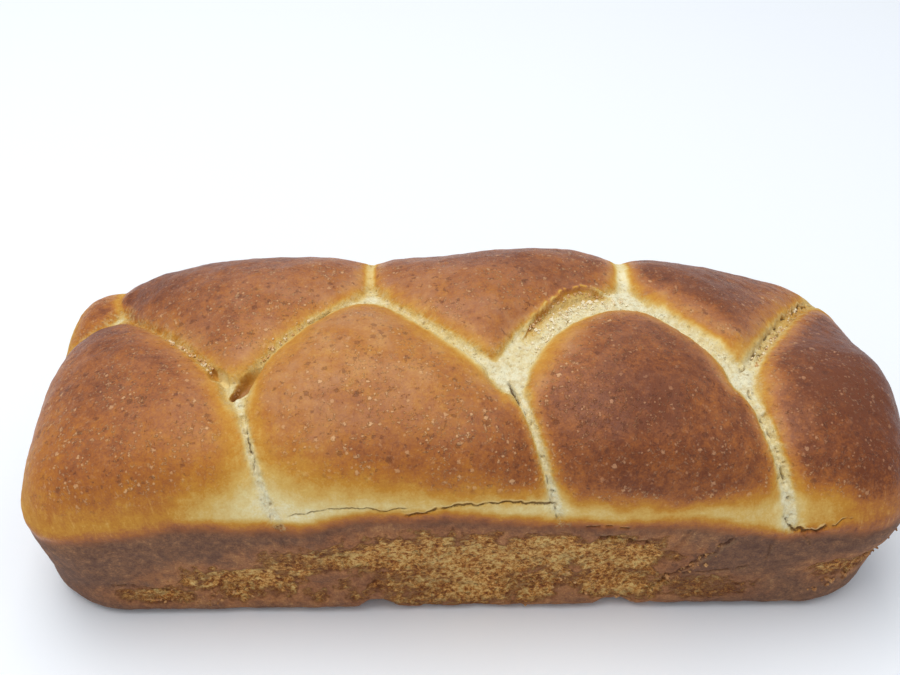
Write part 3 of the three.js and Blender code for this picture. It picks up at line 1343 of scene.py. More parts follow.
@dataclass
class Crust:
    """The loaf's whole surface: the body, its plait, its tin side and their fine relief.

    Each wave has its length along, across and up the loaf, and its height.
    """

    body: TinLoaf = field(default_factory=TinLoaf)
    seed: int = 7
    steps_along: int = 196
    steps_across: int = 84
    steps_up: int = 50
    net_crowding: float = 0.6
    net_top: float = 78.0
    base_inset: float = 18.0
    wave_fade: float = 14.0
    waves: tuple[tuple[float, float, float, float], ...] = (
        (21, 17, 23, 0.5),
        (11, 13, 12, 0.25),
    )
    pockets: tuple[Pocket, ...] = POCKETS
    lips: tuple[Lip, ...] = LIPS
    texture: Texture = Texture()
    pits: Pits = Pits()
    marks: StretchMarks = StretchMarks()
    fineness: Fineness = Fineness()
    refine_levels: tuple[float, ...] = (0.5, 1.5)
    split_reach: float = 6.0
    no_split: float = 9.0
    least_split: float = 0.02
    split_shade: Fade = (5.0, 2.5)
    grain: Grain = field(init=False)
    plait: Plait = field(init=False)
    side: TinSide = field(init=False)
    centre: Array = field(init=False)
    pit_rows: Array = field(init=False)
    lip_lines: list[CrustLine] = field(init=False)

    def __post_init__(self) -> None:
        """Makes the parts that share the body and scatters the pits."""
        self.grain = Grain(self.seed)
        self.plait = Plait(self.body, self.grain)
        self.side = TinSide(self.body, Grain(self.seed + 1))
        self.centre = np.zeros(3)
        self.pit_rows = self.pits.scatter(self.plait, np.random.default_rng(self.seed + 2))
        self.lip_lines = [lip.line(self.body) for lip in self.lips]

    def _guides(self, net: Array) -> Array:
        """Sets guide points round the loaf.

        Args:
            net: Net coordinates of -1 to 1, one row a point.

        Returns:
            Places in millimetres, one row a point.
        """
        along, across, up = net.T
        even = (up + 1) / 2
        height = blend(self.net_crowding, even, (1 - np.cos(np.pi * even)) / 2)
        inset = self.base_inset * (1 - height) ** 2
        return np.stack([
            self.body.middle_x + along * (self.body.length / 2 - inset),
            across * (self.body.width / 2 - inset),
            self.net_top * height,
        ], axis=1)

    def skin(self, net: Array) -> Skin:
        """Works out the crust at points of the net.

        Args:
            net: Net coordinates of -1 to 1, one row a point.

        Returns:
            Places, the wanted fineness of the mesh, and the finishes.
        """
        body = self.body.onto(self._guides(net))
        on_base = net[:, 2] <= -1
        body[on_base, 2] = 0
        normals = self.body.normals(body)
        normals[on_base, 2] = 0
        traces = self.plait.traces(body)
        gap = self.plait.gap(traces)
        above = self.side.above_rim(body)
        band = smooth(above, *self.texture.band_fade)
        torn, thin = self.side.torn(body, above)
        floor = smooth(gap, *self.texture.floor_fade) * (1 - band)
        split_side, split, groove = self._splits(body, traces)
        pit_shade, dent = self._holes(body)
        pocket, pocket_brown, sunk = self._pockets(body)
        floor *= 1 - pocket
        ridge, lean, covered, shade = self._lips(body)
        above_tin = smooth(above, *self.texture.tin_fade)
        bake = self.plait.bake(body, traces) * self.side.strip_bake(body, above)
        # The lips' painted shade and painted highlight go into the browning here
        bake = blend(above_tin, self.texture.band_bake, bake * (1 - covered) + shade)
        bake = bake * (1 - pocket) + pocket_brown
        relief = self._relief(body, gap, above, band, torn, floor) + ridge
        places = body + normals * (relief - groove - dent - sunk)[:, None] + lean
        places[:, 2] = np.maximum(places[:, 2], 0)
        stretch_along, stretch_away, stretch = self.marks.measure(
            body, above, self.plait.seams, traces)
        finishes = {
            "bake": bake, "band": band, "torn": torn, "thin": thin, "floor": floor, "above": above,
            "split_side": split_side, "split": split, "pit_shade": pit_shade,
            "stretch_along": stretch_along, "stretch_away": stretch_away,
            "stretch": stretch * (1 - band), "pocket": pocket,
        }
        detail = self.fineness.wanted(gap, above, finishes, np.maximum(covered, pocket))
        return Skin(places, detail, finishes)

    def _relief(
        self, body: Array, gap: Array, above: Array, band: Array, torn: Array, floor: Array,
    ) -> Array:
        """Adds up the crust's height over the body.

        Args:
            body: Places on the body.
            gap: Distance to the nearest seam floor.
            above: Height above the tin band.
            band: Share of tin band.
            torn: Share of torn crust.
            floor: Share of seam floor.

        Returns:
            Heights in millimetres.
        """
        x, y, z = body.T
        texture, relief = self.texture, self.grain.relief
        waves = sum(
            height * np.sin(x / along) * np.cos(y / across + z / up)
            for along, across, up, height in self.waves
        )
        bumps = relief(body, texture.bumps) * (1 - band) * (1 - floor)
        porous = relief(body, texture.porous) * floor
        leather = relief(body, texture.leather) * band
        crumb = (relief(body * texture.crumb_stretch, texture.crumb) - texture.crumb_sunk) * torn
        ledge = texture.ledge * smooth(above, *texture.ledge_fade)
        fine = (bumps + porous + leather + crumb) * smooth(z, *texture.fine_fade)
        ragged_base = relief(body, texture.ragged_base) * smooth(z, *texture.base_fade)
        return (
            self.plait.rise(body, gap) + self.side.relief(body)
            + waves * smooth(z, 0, self.wave_fade) + fine + ledge + ragged_base
        )

    def _splits(self, body: Array, traces: Sequence[Trace]) -> tuple[Array, Array, Array]:
        """Measures the cracks and creases.

        Args:
            body: Places on the body.
            traces: The points measured from every seam.

        Returns:
            Signed distance to the nearest split in half widths, how much painted shade it has
            there, and the depth of its groove.
        """
        pairs = [
            (crack, trace)
            for seam, trace in zip(self.plait.seams, traces) for crack in seam.cracks
        ]
        pairs += [
            (line.crack, crust_line.trace(body))
            for line, crust_line in zip(self.side.lines, self.side.crust_lines)
        ]
        nearest = np.full(len(body), self.no_split)
        painted_shade, groove = np.zeros((2, len(body)))
        for number, (crack, trace) in enumerate(pairs):
            reach = abs(crack.offset) + crack.wander + self.split_reach
            near = np.flatnonzero(trace.distance < reach)
            side, strength = crack.measure(trace, near, number, self.grain)
            groove[near] = np.maximum(groove[near], crack.depth * strength * bell(side))
            closer = (np.abs(side) < np.abs(nearest[near])) & (strength > self.least_split)
            chosen = near[closer]
            nearest[chosen] = side[closer]
            shown = strength * crack.painted_shade * smooth(np.abs(side), *self.split_shade)
            painted_shade[chosen] = shown[closer]
        return nearest, painted_shade, groove

    def _holes(self, body: Array) -> tuple[Array, Array]:
        """Sinks the pits of the seams.

        Args:
            body: Places on the body.

        Returns:
            How much painted shade each point gets from pits, and how deep it is sunk.
        """
        painted_shade, depth = np.zeros((2, len(body)))
        for x, y, z, radius, deep in self.pit_rows:
            near = np.flatnonzero(np.abs(body[:, 0] - x) < self.pits.reach)
            share = bell(np.linalg.norm(body[near] - (x, y, z), axis=1), width=radius)
            painted_shade[near] = np.maximum(painted_shade[near], share * self.pits.painted_shade)
            depth[near] = np.maximum(depth[near], share * deep)
        return painted_shade, depth

    def _pockets(self, body: Array) -> tuple[Array, Array, Array]:
        """Sinks the pockets.

        Args:
            body: Places on the body.

        Returns:
            The share of pocket at each point, its browning, partly painted shade at a dark end, and
            how deep it is sunk.
        """
        open_share, browned, depth = np.zeros((3, len(body)))
        for pocket in self.pockets:
            ends = self.body.onto(np.array([pocket.start, pocket.end], float))
            trace = CrustLine(ends, self.body).trace(body)
            radius = blend(trace.share, pocket.start_radius, pocket.end_radius)
            radius *= 1 - pocket.taper * (2 * trace.share - 1) ** 2
            away = trace.distance * (1 + self.grain.relief(body, pocket.ragged)) / radius
            inside = np.exp(-((away / pocket.mouth) ** pocket.mouth_power))
            open_share = np.maximum(open_share, inside)
            browned = np.maximum(browned, inside * blend(trace.share, *pocket.browns))
            depth += np.exp(-(away**pocket.wall_power)) * pocket.depth
        return open_share, browned, depth

    def _lips(self, body: Array) -> tuple[Array, Array, Array, Array]:
        """Raises the ragged lips, leans them over the floor, and lays painted shade on the floor
        under them and a painted highlight along their edge.

        Args:
            body: Places on the body.

        Returns:
            Heights, sideways shifts, the covered share, and the painted shade and highlight that it
            gets as browning.
        """
        height, covered, browned = np.zeros((3, len(body)))
        shift = np.zeros_like(body)
        for lip, line in zip(self.lips, self.lip_lines):
            trace = line.trace(body)
            near = np.flatnonzero(trace.distance < lip.widest * lip.reach)
            side = trace.side[near] + self.grain.relief(body[near], lip.ragged)
            ends = between(trace.share[near], lip.end_fade)
            ends *= lip.fade(trace.distance[near], lip.reach_fade)
            waves = lip.ridge_level + self.grain.relief(body[near], lip.ridge_waves)
            ridge = bell(side, *lip.ridge) * waves
            height[near] += ends * (lip.height * ridge - lip.drop * lip.hollow(side))
            shift[near] -= trace.across[near] * (ends * lip.lean * ridge)[:, None]
            inside = lip.covered(side)
            gaps = self.grain.relief(body[near], lip.edge_gaps)
            edge = bell(side, *lip.edge) * smooth(gaps, *lip.edge_gap_fade)
            covered[near] = ends * np.maximum(inside, edge)
            browned[near] = ends * np.where(
                inside > edge, inside * lip.shade(side), edge * lip.highlight_edge_bake)
        return height, shift, covered, browned

    def net_mesh(self) -> bpy.types.Mesh:
        """Makes the net over the loaf's top and walls, with net coordinates as its places.

        Returns:
            A mesh that is finer where the crust has fine forms.
        """
        along, across, up = self.steps_along, self.steps_across, self.steps_up
        numbers: dict[tuple[int, int, int], int] = {}
        faces: list[tuple[int, ...]] = []

        def quad(*corners: tuple[int, int, int]) -> None:
            """Adds the face between four corners of the net, and numbers each of them once."""
            faces.append(tuple(numbers.setdefault(corner, len(numbers)) for corner in corners))

        for i in range(along):
            for j in range(across):
                quad((i, j, up), (i + 1, j, up), (i + 1, j + 1, up), (i, j + 1, up))
            for k in range(up):
                quad((i, 0, k), (i + 1, 0, k), (i + 1, 0, k + 1), (i, 0, k + 1))
                front = ((i, k + 1), (i + 1, k + 1), (i + 1, k), (i, k))
                quad(*((step, across, level) for step, level in front))
        for j in range(across):
            for k in range(up):
                quad((0, j, k + 1), (0, j + 1, k + 1), (0, j + 1, k), (0, j, k))
                quad((along, j, k), (along, j + 1, k), (along, j + 1, k + 1), (along, j, k + 1))
        mesh = bpy.data.meshes.new("challah_crust")
        places = [(2 * i / along - 1, 2 * j / across - 1, 2 * k / up - 1) for i, j, k in numbers]
        mesh.from_pydata(places, [], faces)
        for level in self.refine_levels:
            self._refine(mesh, level)
        return mesh

    def _refine(self, mesh: bpy.types.Mesh, level: float) -> None:
        """Divides the faces whose corners want more than a level of detail.

        Args:
            mesh: The net, in net coordinates.
            level: The level.
        """
        wanted = self.skin(read_places(mesh)).detail > level
        shape = bmesh.new()
        shape.from_mesh(mesh)
        edges = {
            edge for face in shape.faces
            if any(wanted[corner.index] for corner in face.verts)
            for edge in face.edges
        }
        bmesh.ops.subdivide_edges(shape, edges=list(edges), cuts=1, use_grid_fill=True)
        shape.to_mesh(mesh)
        shape.free()

    def build(self) -> bpy.types.Object:
        """Builds the crust as one closed mesh with its finishes as attributes.

        Returns:
            The crust, in the scene's collection.
        """
        mesh = self.net_mesh()
        skin = self.skin(read_places(mesh))
        self.centre = (skin.places.min(0) + skin.places.max(0)) / 2
        self.centre[2] = 0
        places = (skin.places - self.centre) * METRES_PER_MM
        mesh.vertices.foreach_set("co", places.astype(np.float32).ravel())
        for name, values in skin.finishes.items():
            layer = mesh.attributes.new(name, "FLOAT", "POINT")
            layer.data.foreach_set("value", values.astype(np.float32))
        self._close_base(mesh)
        return put_in_scene("challah_crust", mesh)

    def _close_base(self, mesh: bpy.types.Mesh) -> None:
        """Closes the open ring under the loaf with one flat face.

        Args:
            mesh: The crust's mesh.
        """
        shape = bmesh.new()
        shape.from_mesh(mesh)
        ring = [edge for edge in shape.edges if edge.is_boundary]
        made = bmesh.ops.contextual_create(shape, geom=ring)
        for face in shape.faces:
            face.smooth = True
        for face in made["faces"]:
            face.smooth = False
        bmesh.ops.recalc_face_normals(shape, faces=shape.faces[:])
        shape.to_mesh(mesh)
        shape.free()


@dataclass(frozen=True)
class Cloud:
    """A cloudy pattern. Its size is in millimetres, and its detail is the number of finer layers.

    The limits are where its patches start and are whole, and may be followed by their strengths.
    """

    size: float
    detail: float = 2.0
    roughness: float = 0.5
    strength: float = 1.0
    limits: Fade | Ease = (0.0, 1.0)


@dataclass(frozen=True)
class Spots:
    """Scattered uneven spots.

    The size is the distance between them in millimetres, if each cell had one. The radius and the
    growth are shares of it, and the rarity is the share of cells without a spot.
    """

    size: float
    radius: float
    rarity: float
    inner: float = 0.3
    uneven: Cloud = Cloud(0.8, 3, 0.6, 0.5)
    growth: float = 0.10
    rare_fade: Fade = (0, 0.3)


class ShaderNodes:
    """The nodes of one material, made and joined by short calls."""

    def __init__(self, name: str) -> None:
        """Starts an empty material.

        Args:
            name: Name of the material.
        """
        self.material = bpy.data.materials.new(name)
        self.material.use_nodes = True
        self.tree = self.material.node_tree
        self.tree.nodes.clear()
        self.coordinates = self.add("ShaderNodeTexCoord", {}, "Object")

    def add(
        self, kind: str, inputs: dict[str | int, object], output: str | int = 0, **settings: object,
    ) -> Socket:
        """Adds a node.

        Args:
            kind: Type of the node.
            inputs: A value, or a socket to link, for each input by its name or number.
            output: Name or number of the wanted output.
            settings: Properties that are set on the node.

        Returns:
            The wanted output.
        """
        node = self.tree.nodes.new(kind)
        for name, value in settings.items():
            setattr(node, name, value)
        for socket, value in inputs.items():
            if isinstance(value, Socket):
                self.tree.links.new(value, node.inputs[socket])
            else:
                node.inputs[socket].default_value = value
        return node.outputs[output]

    def attribute(self, name: str) -> Socket:
        """Reads one of the mesh's attributes."""
        return self.add("ShaderNodeAttribute", {}, "Fac", attribute_name=name)

    def stretched(self, factors: Place) -> Socket:
        """Scales the object's coordinates differently each way."""
        inputs = {0: self.coordinates, 1: factors}
        return self.add("ShaderNodeVectorMath", inputs, operation="MULTIPLY")

    def noise(self, cloud: Cloud, at: Socket | None = None) -> Socket:
        """Adds a cloudy pattern.

        Args:
            cloud: Its size and its finer layers.
            at: Coordinates, or none for the object's own.

        Returns:
            The pattern, from 0 to 1.
        """
        return self.add("ShaderNodeTexNoise", {
            "Vector": at or self.coordinates,
            "Scale": 1 / (cloud.size * METRES_PER_MM),
            "Detail": cloud.detail,
            "Roughness": cloud.roughness,
        })

    def patches(self, cloud: Cloud) -> Socket:
        """Adds the patches of a cloudy pattern."""
        return self.range(self.noise(cloud), *cloud.limits)

    def swing(self, cloud: Cloud, at: Socket | None = None) -> Socket:
        """Adds a cloudy pattern that swings about 0, by its strength in all."""
        return self.times(self.math("SUBTRACT", self.noise(cloud, at), 0.5), cloud.strength)

    def cloud(self, cloud: Cloud, *masks: Socket) -> Socket:
        """Adds a cloudy pattern from 0 to its strength, where the masks let it show."""
        return self.times(self.noise(cloud), *masks, cloud.strength)

    def spots(self, spots: Spots) -> Socket:
        """Scatters uneven spots over the object.

        Args:
            spots: Their sizes, and how rare they are.

        Returns:
            The spots' strength.
        """
        scale = 1 / (spots.size * METRES_PER_MM)
        away = self.add(
            "ShaderNodeTexVoronoi", {"Vector": self.coordinates, "Scale": scale}, "Distance")
        random = self.add("ShaderNodeSeparateColor", {0: away.node.outputs["Color"]})
        chosen = self.range(random, spots.rarity, 1.0)
        reach = self.plus(away, self.swing(spots.uneven), self.times(chosen, -spots.growth))
        return self.times(
            self.range(reach, spots.radius, spots.inner * spots.radius),
            self.range(chosen, *spots.rare_fade))

    def math(
        self, operation: str, first: object, second: object = 0.0, clamped: bool = False,
    ) -> Socket:
        """Adds an operation on one or two values, with its result kept from 0 to 1 if clamped."""
        inputs = {0: first, 1: second}
        return self.add("ShaderNodeMath", inputs, operation=operation, use_clamp=clamped)

    def times(self, *values: object) -> Socket:
        """Multiplies values and sockets."""
        return functools.reduce(functools.partial(self.math, "MULTIPLY"), values)

    def plus(self, *values: object) -> Socket:
        """Adds up values and sockets."""
        return functools.reduce(functools.partial(self.math, "ADD"), values)

    def most(self, *values: object) -> Socket:
        """Takes the highest of values and sockets."""
        return functools.reduce(functools.partial(self.math, "MAXIMUM"), values)

    def range(self, value: object, *limits: float) -> Socket:
        """Eases a value from 0 to 1 between two limits, or between two results after them."""
        inputs = dict(enumerate((value, *limits)))
        return self.add("ShaderNodeMapRange", inputs, interpolation_type="SMOOTHSTEP")

    def mix(self, share: object, first: object, second: object) -> Socket:
        """Mixes two colours by the share of the second one."""
        return self.add("ShaderNodeMix", {0: share, 6: first, 7: second}, 2, data_type="RGBA")

    def ramp(self, value: object, stops: Stops) -> Socket:
        """Turns a value into a colour.

        Args:
            value: The value.
            stops: Values with their colours.

        Returns:
            The colour.
        """
        result = self.add("ShaderNodeValToRGB", {"Fac": value}, "Color")
        elements = result.node.color_ramp.elements
        while len(elements) < len(stops):
            elements.new(1.0)
        for element, (place, colour) in zip(elements, stops):
            element.position = place
            element.color = linear(colour)
        return result

    def bump(self, height: object) -> Socket:
        """Turns a relief with its height in millimetres into a surface direction."""
        inputs = {"Strength": 1.0, "Distance": METRES_PER_MM, "Height": height}
        return self.add("ShaderNodeBump", inputs)

    def surface(self, inputs: dict[str, object]) -> bpy.types.Material:
        """Adds the surface and the output.

        Args:
            inputs: Values and sockets by the names of the surface's inputs.

        Returns:
            The material.
        """
        shader = self.add("ShaderNodeBsdfPrincipled", inputs)
        output = self.tree.nodes.new("ShaderNodeOutputMaterial")
        self.tree.links.new(shader, output.inputs["Surface"])
        return self.material


@dataclass(frozen=True)
class Overlay:
    """What one kind of crust adds: its colour, its share of it and its relief in millimetres."""

    colour: Colour
    share: float
    relief: float


@dataclass(frozen=True)
class CrustFinish:
    """Baked crust: brown glazed lobes, pale porous seams and a matte band with torn crumb."""

    browns: Stops = (
        (0.00, (238, 230, 194)),
        (0.12, (226, 203, 140)),
        (0.25, (212, 171, 90)),
        (0.40, (196, 136, 46)),
        (0.58, (178, 109, 36)),
        (0.75, (158, 91, 40)),
        (0.88, (132, 72, 34)),
        (1.00, (110, 56, 28)),
    )
    band_browns: Stops = (
        (0.0, (84, 55, 42)),
        (0.4, (112, 77, 58)),
        (0.75, (140, 98, 68)),
        (1.0, (182, 134, 90)),
    )
    thin_browns: Stops = (
        (0.0, (126, 76, 48)),
        (0.4, (168, 108, 66)),
        (0.75, (192, 130, 78)),
        (1.0, (218, 168, 108)),
    )
    crumb_browns: Stops = (
        (0.0, (124, 64, 28)),
        (0.3, (188, 112, 50)),
        (0.6, (230, 162, 80)),
        (1.0, (254, 214, 136)),
    )
    refraction: float = 1.5
    specular: float = 0.24

    # The lobes: glazed, in blotches of three sizes, with a painted sheen on their crests
    glazed_fade: Fade = (0.3, 0.7)
    lobe_roughness: Ease = (0, 1, 0.75, 0.40)
    rough_cloud: Cloud = Cloud(2.5, 3, strength=0.2)
    blotches: tuple[Cloud, ...] = (
        Cloud(16, 3, strength=0.30), Cloud(3.6, 4, 0.65, 0.60), Cloud(0.8, 4, 0.7, 0.50))
    blotch_amount: Ease = (0.2, 0.75, 0.35, 1.0)
    crest_sheen: Colour = (180, 126, 94)
    pale_crest_sheen: Colour = (212, 166, 118)
    crest_sheen_patches: Cloud = Cloud(9, 5, 0.65, limits=(0.38, 0.64, 0.15, 0.55))
    crest_sheen_darkening: Fade = (0.5, 0.78)
    crest_height: Fade = (12, 40)
    crest_baking: Ease = (1.0, 0.6, 0.25, 1.0)

    # Pale blisters and dark freckles, clear of the tin band
    spotted_height: Fade = (4, 12)
    fleck: Overlay = Overlay((228, 180, 130), 0.65, 0.26)
    dark_fleck: Colour = (192, 136, 98)
    fleck_darkening: Fade = (0.7, 0.95)
    crowds: Cloud = Cloud(13, limits=(0.38, 0.60, 0.2, 1.0))
    small_flecks: Spots = Spots(1.9, 0.24, 0.45)
    small_share: float = 0.9
    large_flecks: Spots = Spots(4.2, 0.15, 0.45)
    large_amount: Ease = (0, 1, 0.5, 1)
    clusters: Cloud = Cloud(1.5, 4, 0.7, 0.8, (0.55, 0.65))
    freckle: Overlay = Overlay((92, 48, 30), 0.5, -0.12)
    freckle_patches: Cloud = Cloud(2.6, 3, 0.65, limits=(0.60, 0.68))
    freckle_spots: Spots = Spots(5.5, 0.12, 0.45)

    # Threads and marks, drawn out across the seams
    thread_cloud: Cloud = Cloud(1.2, 4, 0.65)
    thread_sway: Cloud = Cloud(9)
    thread_length: float = 0.3
    thread_blotches: float = -0.8
    stretch_mark: Overlay = Overlay((232, 190, 118), 0.4, 0.10)
    mark_lines: Fade = (0.56, 0.72)
    mark_fade: Fade = (0.25, 0.9)

    # The seam floors: a sponge of painted shade, fluff of painted highlights, pin holes and pits with
    # painted shade, and amber pockets
    sponge_shade: Colour = (212, 186, 130)
    sponge_shade_cloud: Cloud = Cloud(1.8, 5, 0.75)
    sponge_shade_threads: float = 0.5
    sponge_shade_amount: Ease = (0.70, 0.90, 0, 0.6)
    fluff_highlight: Colour = (246, 234, 198)
    fluff_highlight_patches: Cloud = Cloud(2.6, 5, 0.7, limits=(0.50, 0.66, 0.0, 0.5))
    fluff_highlight_baking: Fade = (0.35, 0.10)
    fluff_highlight_floor: Fade = (0.6, 1.0)
    pit_shade: Overlay = Overlay((152, 116, 58), 0.7, -0.3)
    hole_fade: Fade = (0.35, 0.95)
    pin_holes: Spots = Spots(2.2, 0.20, 0.5)
    pin_share: float = 0.6
    pits: Cloud = Cloud(1.5, 5, 0.75, 0.4, (0.39, 0.31))
    pocket_amber: Colour = (158, 110, 42)
    pocket_baking: Ease = (0.1, 0.7, 0.1, 0.65)

    # The splits, in half widths of the split: a line of painted shade, and on one side a pale edge
    # that is a painted highlight and partly a paler flap
    split_shadow: Colour = (116, 80, 40)
    band_split_shadow: Colour = (64, 38, 28)
    split_edge_highlight: Colour = (236, 212, 150)
    split_amount: Ease = (0.0, 1.0, 0.0, 0.9)
    split_fade: Fade = (1.0, 0.3)
    split_relief: float = -0.4
    ragged_split: Cloud = Cloud(0.9, 3, 0.6, 2.2)
    edge_place: float = 2.0
    edge_fade: Fade = (1.2, 0.3)
    edge_amount: Ease = (0, 1, 0.5, 0.15)
    edge_relief: float = 0.15

    # The tin band, and the bare crumb where its crust tore off, with painted shade in its pores
    band_clouds: tuple[Cloud, ...] = (
        Cloud(24, 4, 0.6, 0.3), Cloud(3.0, 4, 0.7, 0.4), Cloud(0.8, 4, 0.8, 0.5))
    band_fade: Fade = (0.38, 0.82)
    band_roughness: float = 0.32
    torn_stretch: Place = (0.6, 1.0, 1.0)
    torn_clouds: tuple[Cloud, Cloud] = (Cloud(1.2, 5, 0.8, 1.3), Cloud(6, 4, 0.6, 0.8))
    torn_edge: Fade = (0.0, 0.25)
    torn_share: float = 0.62
    bare_fade: Fade = (0.08, 0.60)
    crumb_stretch: Place = (0.85, 1.0, 1.0)
    crumb_clouds: tuple[Cloud, Cloud] = (Cloud(1.6, 5, 0.8, 4.4), Cloud(9, 3, 0.6, 1.2))
    crumb_tone: float = 0.26
    torn_tone: float = 0.34
    pore_shade: Overlay = Overlay((104, 56, 28), 0.5, -0.4)
    pore_patches: Cloud = Cloud(2.2, 4, 0.65, limits=(0.42, 0.36))

    # Relief that is finer than the mesh: everywhere, and on the floors, the band and the crumb
    skin_relief: Cloud = Cloud(0.8, 4, 0.65, 0.16)
    rolling_relief: Cloud = Cloud(3.0, strength=0.22)
    spongy_relief: Cloud = Cloud(1.3, 5, 0.7, 0.75)
    leather_relief: Cloud = Cloud(1.1, 4, 0.75, 0.55)
    crumb_relief: Cloud = Cloud(1.5, 5, 0.75, 1.9)

    def material(self) -> bpy.types.Material:
        """Makes the material.

        Returns:
            A material that reads the crust's attributes.
        """
        shader = CrustShader(self)
        return shader.surface({
            "Base Color": shader.colour(),
            "Roughness": shader.roughness(),
            "IOR": self.refraction,
            "Specular IOR Level": self.specular,
            "Normal": shader.bump(shader.relief()),
        })


class CrustShader(ShaderNodes):
    """The nodes of the crust's material. Each of its masks is where one kind of crust shows."""

    def __init__(self, look: CrustFinish) -> None:
        """Works out the masks.

        Args:
            look: Colours and patterns of the crust.
        """
        super().__init__("baked_crust")
        self.look = look
        self.bake = self.attribute("bake")
        self.band = self.attribute("band")
        self.floor = self.attribute("floor")
        self.threads = self._threads()
        self.browned = self.range(self.bake, *look.glazed_fade)
        self.on_lobes = self.times(self.browned, self.math("SUBTRACT", 1.0, self.band))
        high = self.range(self.attribute("above"), *look.spotted_height)
        freckles = self.most(self.patches(look.freckle_patches), self.spots(look.freckle_spots))
        lines = self.range(self.threads, *look.mark_lines)
        self.flecks = self.times(self._flecks(), self.on_lobes, high)
        self.freckles = self.times(freckles, self.on_lobes, high)
        self.marks = self.times(lines, self.range(self.attribute("stretch"), *look.mark_fade))
        self.holes = self._holes()
        self.split, self.beside_split = self._split()
        self.bare = self.range(self._torn(), *look.bare_fade)
        self.pores = self.times(self.patches(look.pore_patches), self.bare)

    def colour(self) -> Socket:
        """Lays the colours over each other, from the browning up to the splits.

        Returns:
            The colour.
        """
        look, bake, band = self.look, self.bake, self.band
        # A painted sheen: a greyish-pink haze on the lobes' high crests, where the glaze would catch
        # the overhead light
        crest = self.times(
            self.range(self.attribute("above"), *look.crest_height),
            self.range(bake, *look.crest_baking))
        crest_sheen = self.mix(
            self.range(bake, *look.crest_sheen_darkening), linear(look.pale_crest_sheen), linear(look.crest_sheen))
        # Painted shade in the spongy floor's pores, and painted highlights on its pale fluff
        sponge_shading = self.plus(
            self.noise(look.sponge_shade_cloud), self.times(self.threads, look.sponge_shade_threads))
        fluff_highlight = self.times(self.patches(look.fluff_highlight_patches), self.range(bake, *look.fluff_highlight_baking))
        amber = self.times(self.attribute("pocket"), self.range(bake, *look.pocket_baking))
        blister = self.mix(
            self.range(bake, *look.fleck_darkening),
            linear(look.fleck.colour), linear(look.dark_fleck))
        # The pale edge by a split is a painted highlight, partly a paler flap, and the split's line
        # is painted shade
        edge_highlight = self.times(self.beside_split, self.range(band, *look.edge_amount))
        painted_shade = self.mix(band, linear(look.split_shadow), linear(look.band_split_shadow))
        colour = self.ramp(self._mottled(), look.browns)
        for share, paint in (
            (self.times(self.patches(look.crest_sheen_patches), self.on_lobes, crest), crest_sheen),
            (self.times(self.range(sponge_shading, *look.sponge_shade_amount), self.floor), linear(look.sponge_shade)),
            (self.times(fluff_highlight, self.range(self.floor, *look.fluff_highlight_floor)), linear(look.fluff_highlight)),
            self._overlaid(self.marks, look.stretch_mark),
            (amber, linear(look.pocket_amber)),
            (self.times(self.flecks, look.fleck.share), blister),
            self._overlaid(self.freckles, look.freckle),
            (band, self._leather()),
            (self.bare, self._crumb()),
            self._overlaid(self.pores, look.pore_shade),
            self._overlaid(self.holes, look.pit_shade),
            (edge_highlight, linear(look.split_edge_highlight)),
            (self.split, painted_shade),
        ):
            colour = self.mix(share, colour, paint)
        return colour

    def roughness(self) -> Socket:
        """Makes the lobes satin and everything else matte.

        Returns:
            The roughness.
        """
        lobes = self.range(self.browned, *self.look.lobe_roughness)
        band = self.times(self.band, self.look.band_roughness)
        return self.plus(lobes, self.swing(self.look.rough_cloud), band)

    def relief(self) -> Socket:
        """Adds up the relief that is finer than the mesh.

        Returns:
            The height in millimetres.
        """
        look = self.look
        return self.plus(
            self.cloud(look.skin_relief),
            self.cloud(look.rolling_relief),
            self.cloud(look.spongy_relief, self.floor),
            self.cloud(look.leather_relief, self.band),
            self.cloud(look.crumb_relief, self.bare),
            self.times(self.flecks, look.fleck.relief),
            self.times(self.marks, look.stretch_mark.relief),
            self.times(self.freckles, look.freckle.relief),
            self.times(self.split, look.split_relief),
            self.times(self.beside_split, look.edge_relief),
            self.times(self.holes, look.pit_shade.relief),
            self.times(self.pores, look.pore_shade.relief),
        )

    def _overlaid(self, mask: Socket, overlay: Overlay) -> tuple[Socket, Sequence[float]]:
        """Gives the share and the colour of an overlay."""
        return self.times(mask, overlay.share), linear(overlay.colour)

    def _threads(self) -> Socket:
        """Draws threads that run out across the seams.

        Returns:
            The threads, from 0 to 1.
        """
        away = self.look.thread_length * METRES_PER_MM
        place = self.add("ShaderNodeCombineXYZ", {
            0: self.times(self.attribute("stretch_along"), METRES_PER_MM),
            1: self.times(self.attribute("stretch_away"), away),
            2: self.times(self.noise(self.look.thread_sway), METRES_PER_MM),
        })
        return self.noise(self.look.thread_cloud, at=place)

    def _mottled(self) -> Socket:
        """Breaks up the browning with blotches, and with threads at the seams.

        Returns:
            The browning, from 0 to 1.
        """
        threads = self.math("SUBTRACT", self.threads, 0.5)
        drawn = self.times(threads, self.attribute("stretch"), self.look.thread_blotches)
        blotches = self.plus(*(self.swing(cloud) for cloud in self.look.blotches), drawn)
        spread = self.times(blotches, self.range(self.bake, *self.look.blotch_amount))
        return self.math("ADD", self.bake, spread, clamped=True)

    def _flecks(self) -> Socket:
        """Scatters pale blisters of two sizes, closer together here and there.

        Returns:
            The blisters' strength.
        """
        look = self.look
        crowd = self.patches(look.crowds)
        return self.most(
            self.times(self.spots(look.small_flecks), crowd, look.small_share),
            self.times(self.spots(look.large_flecks), self.range(crowd, *look.large_amount)),
            self.times(self.patches(look.clusters), crowd, look.clusters.strength))

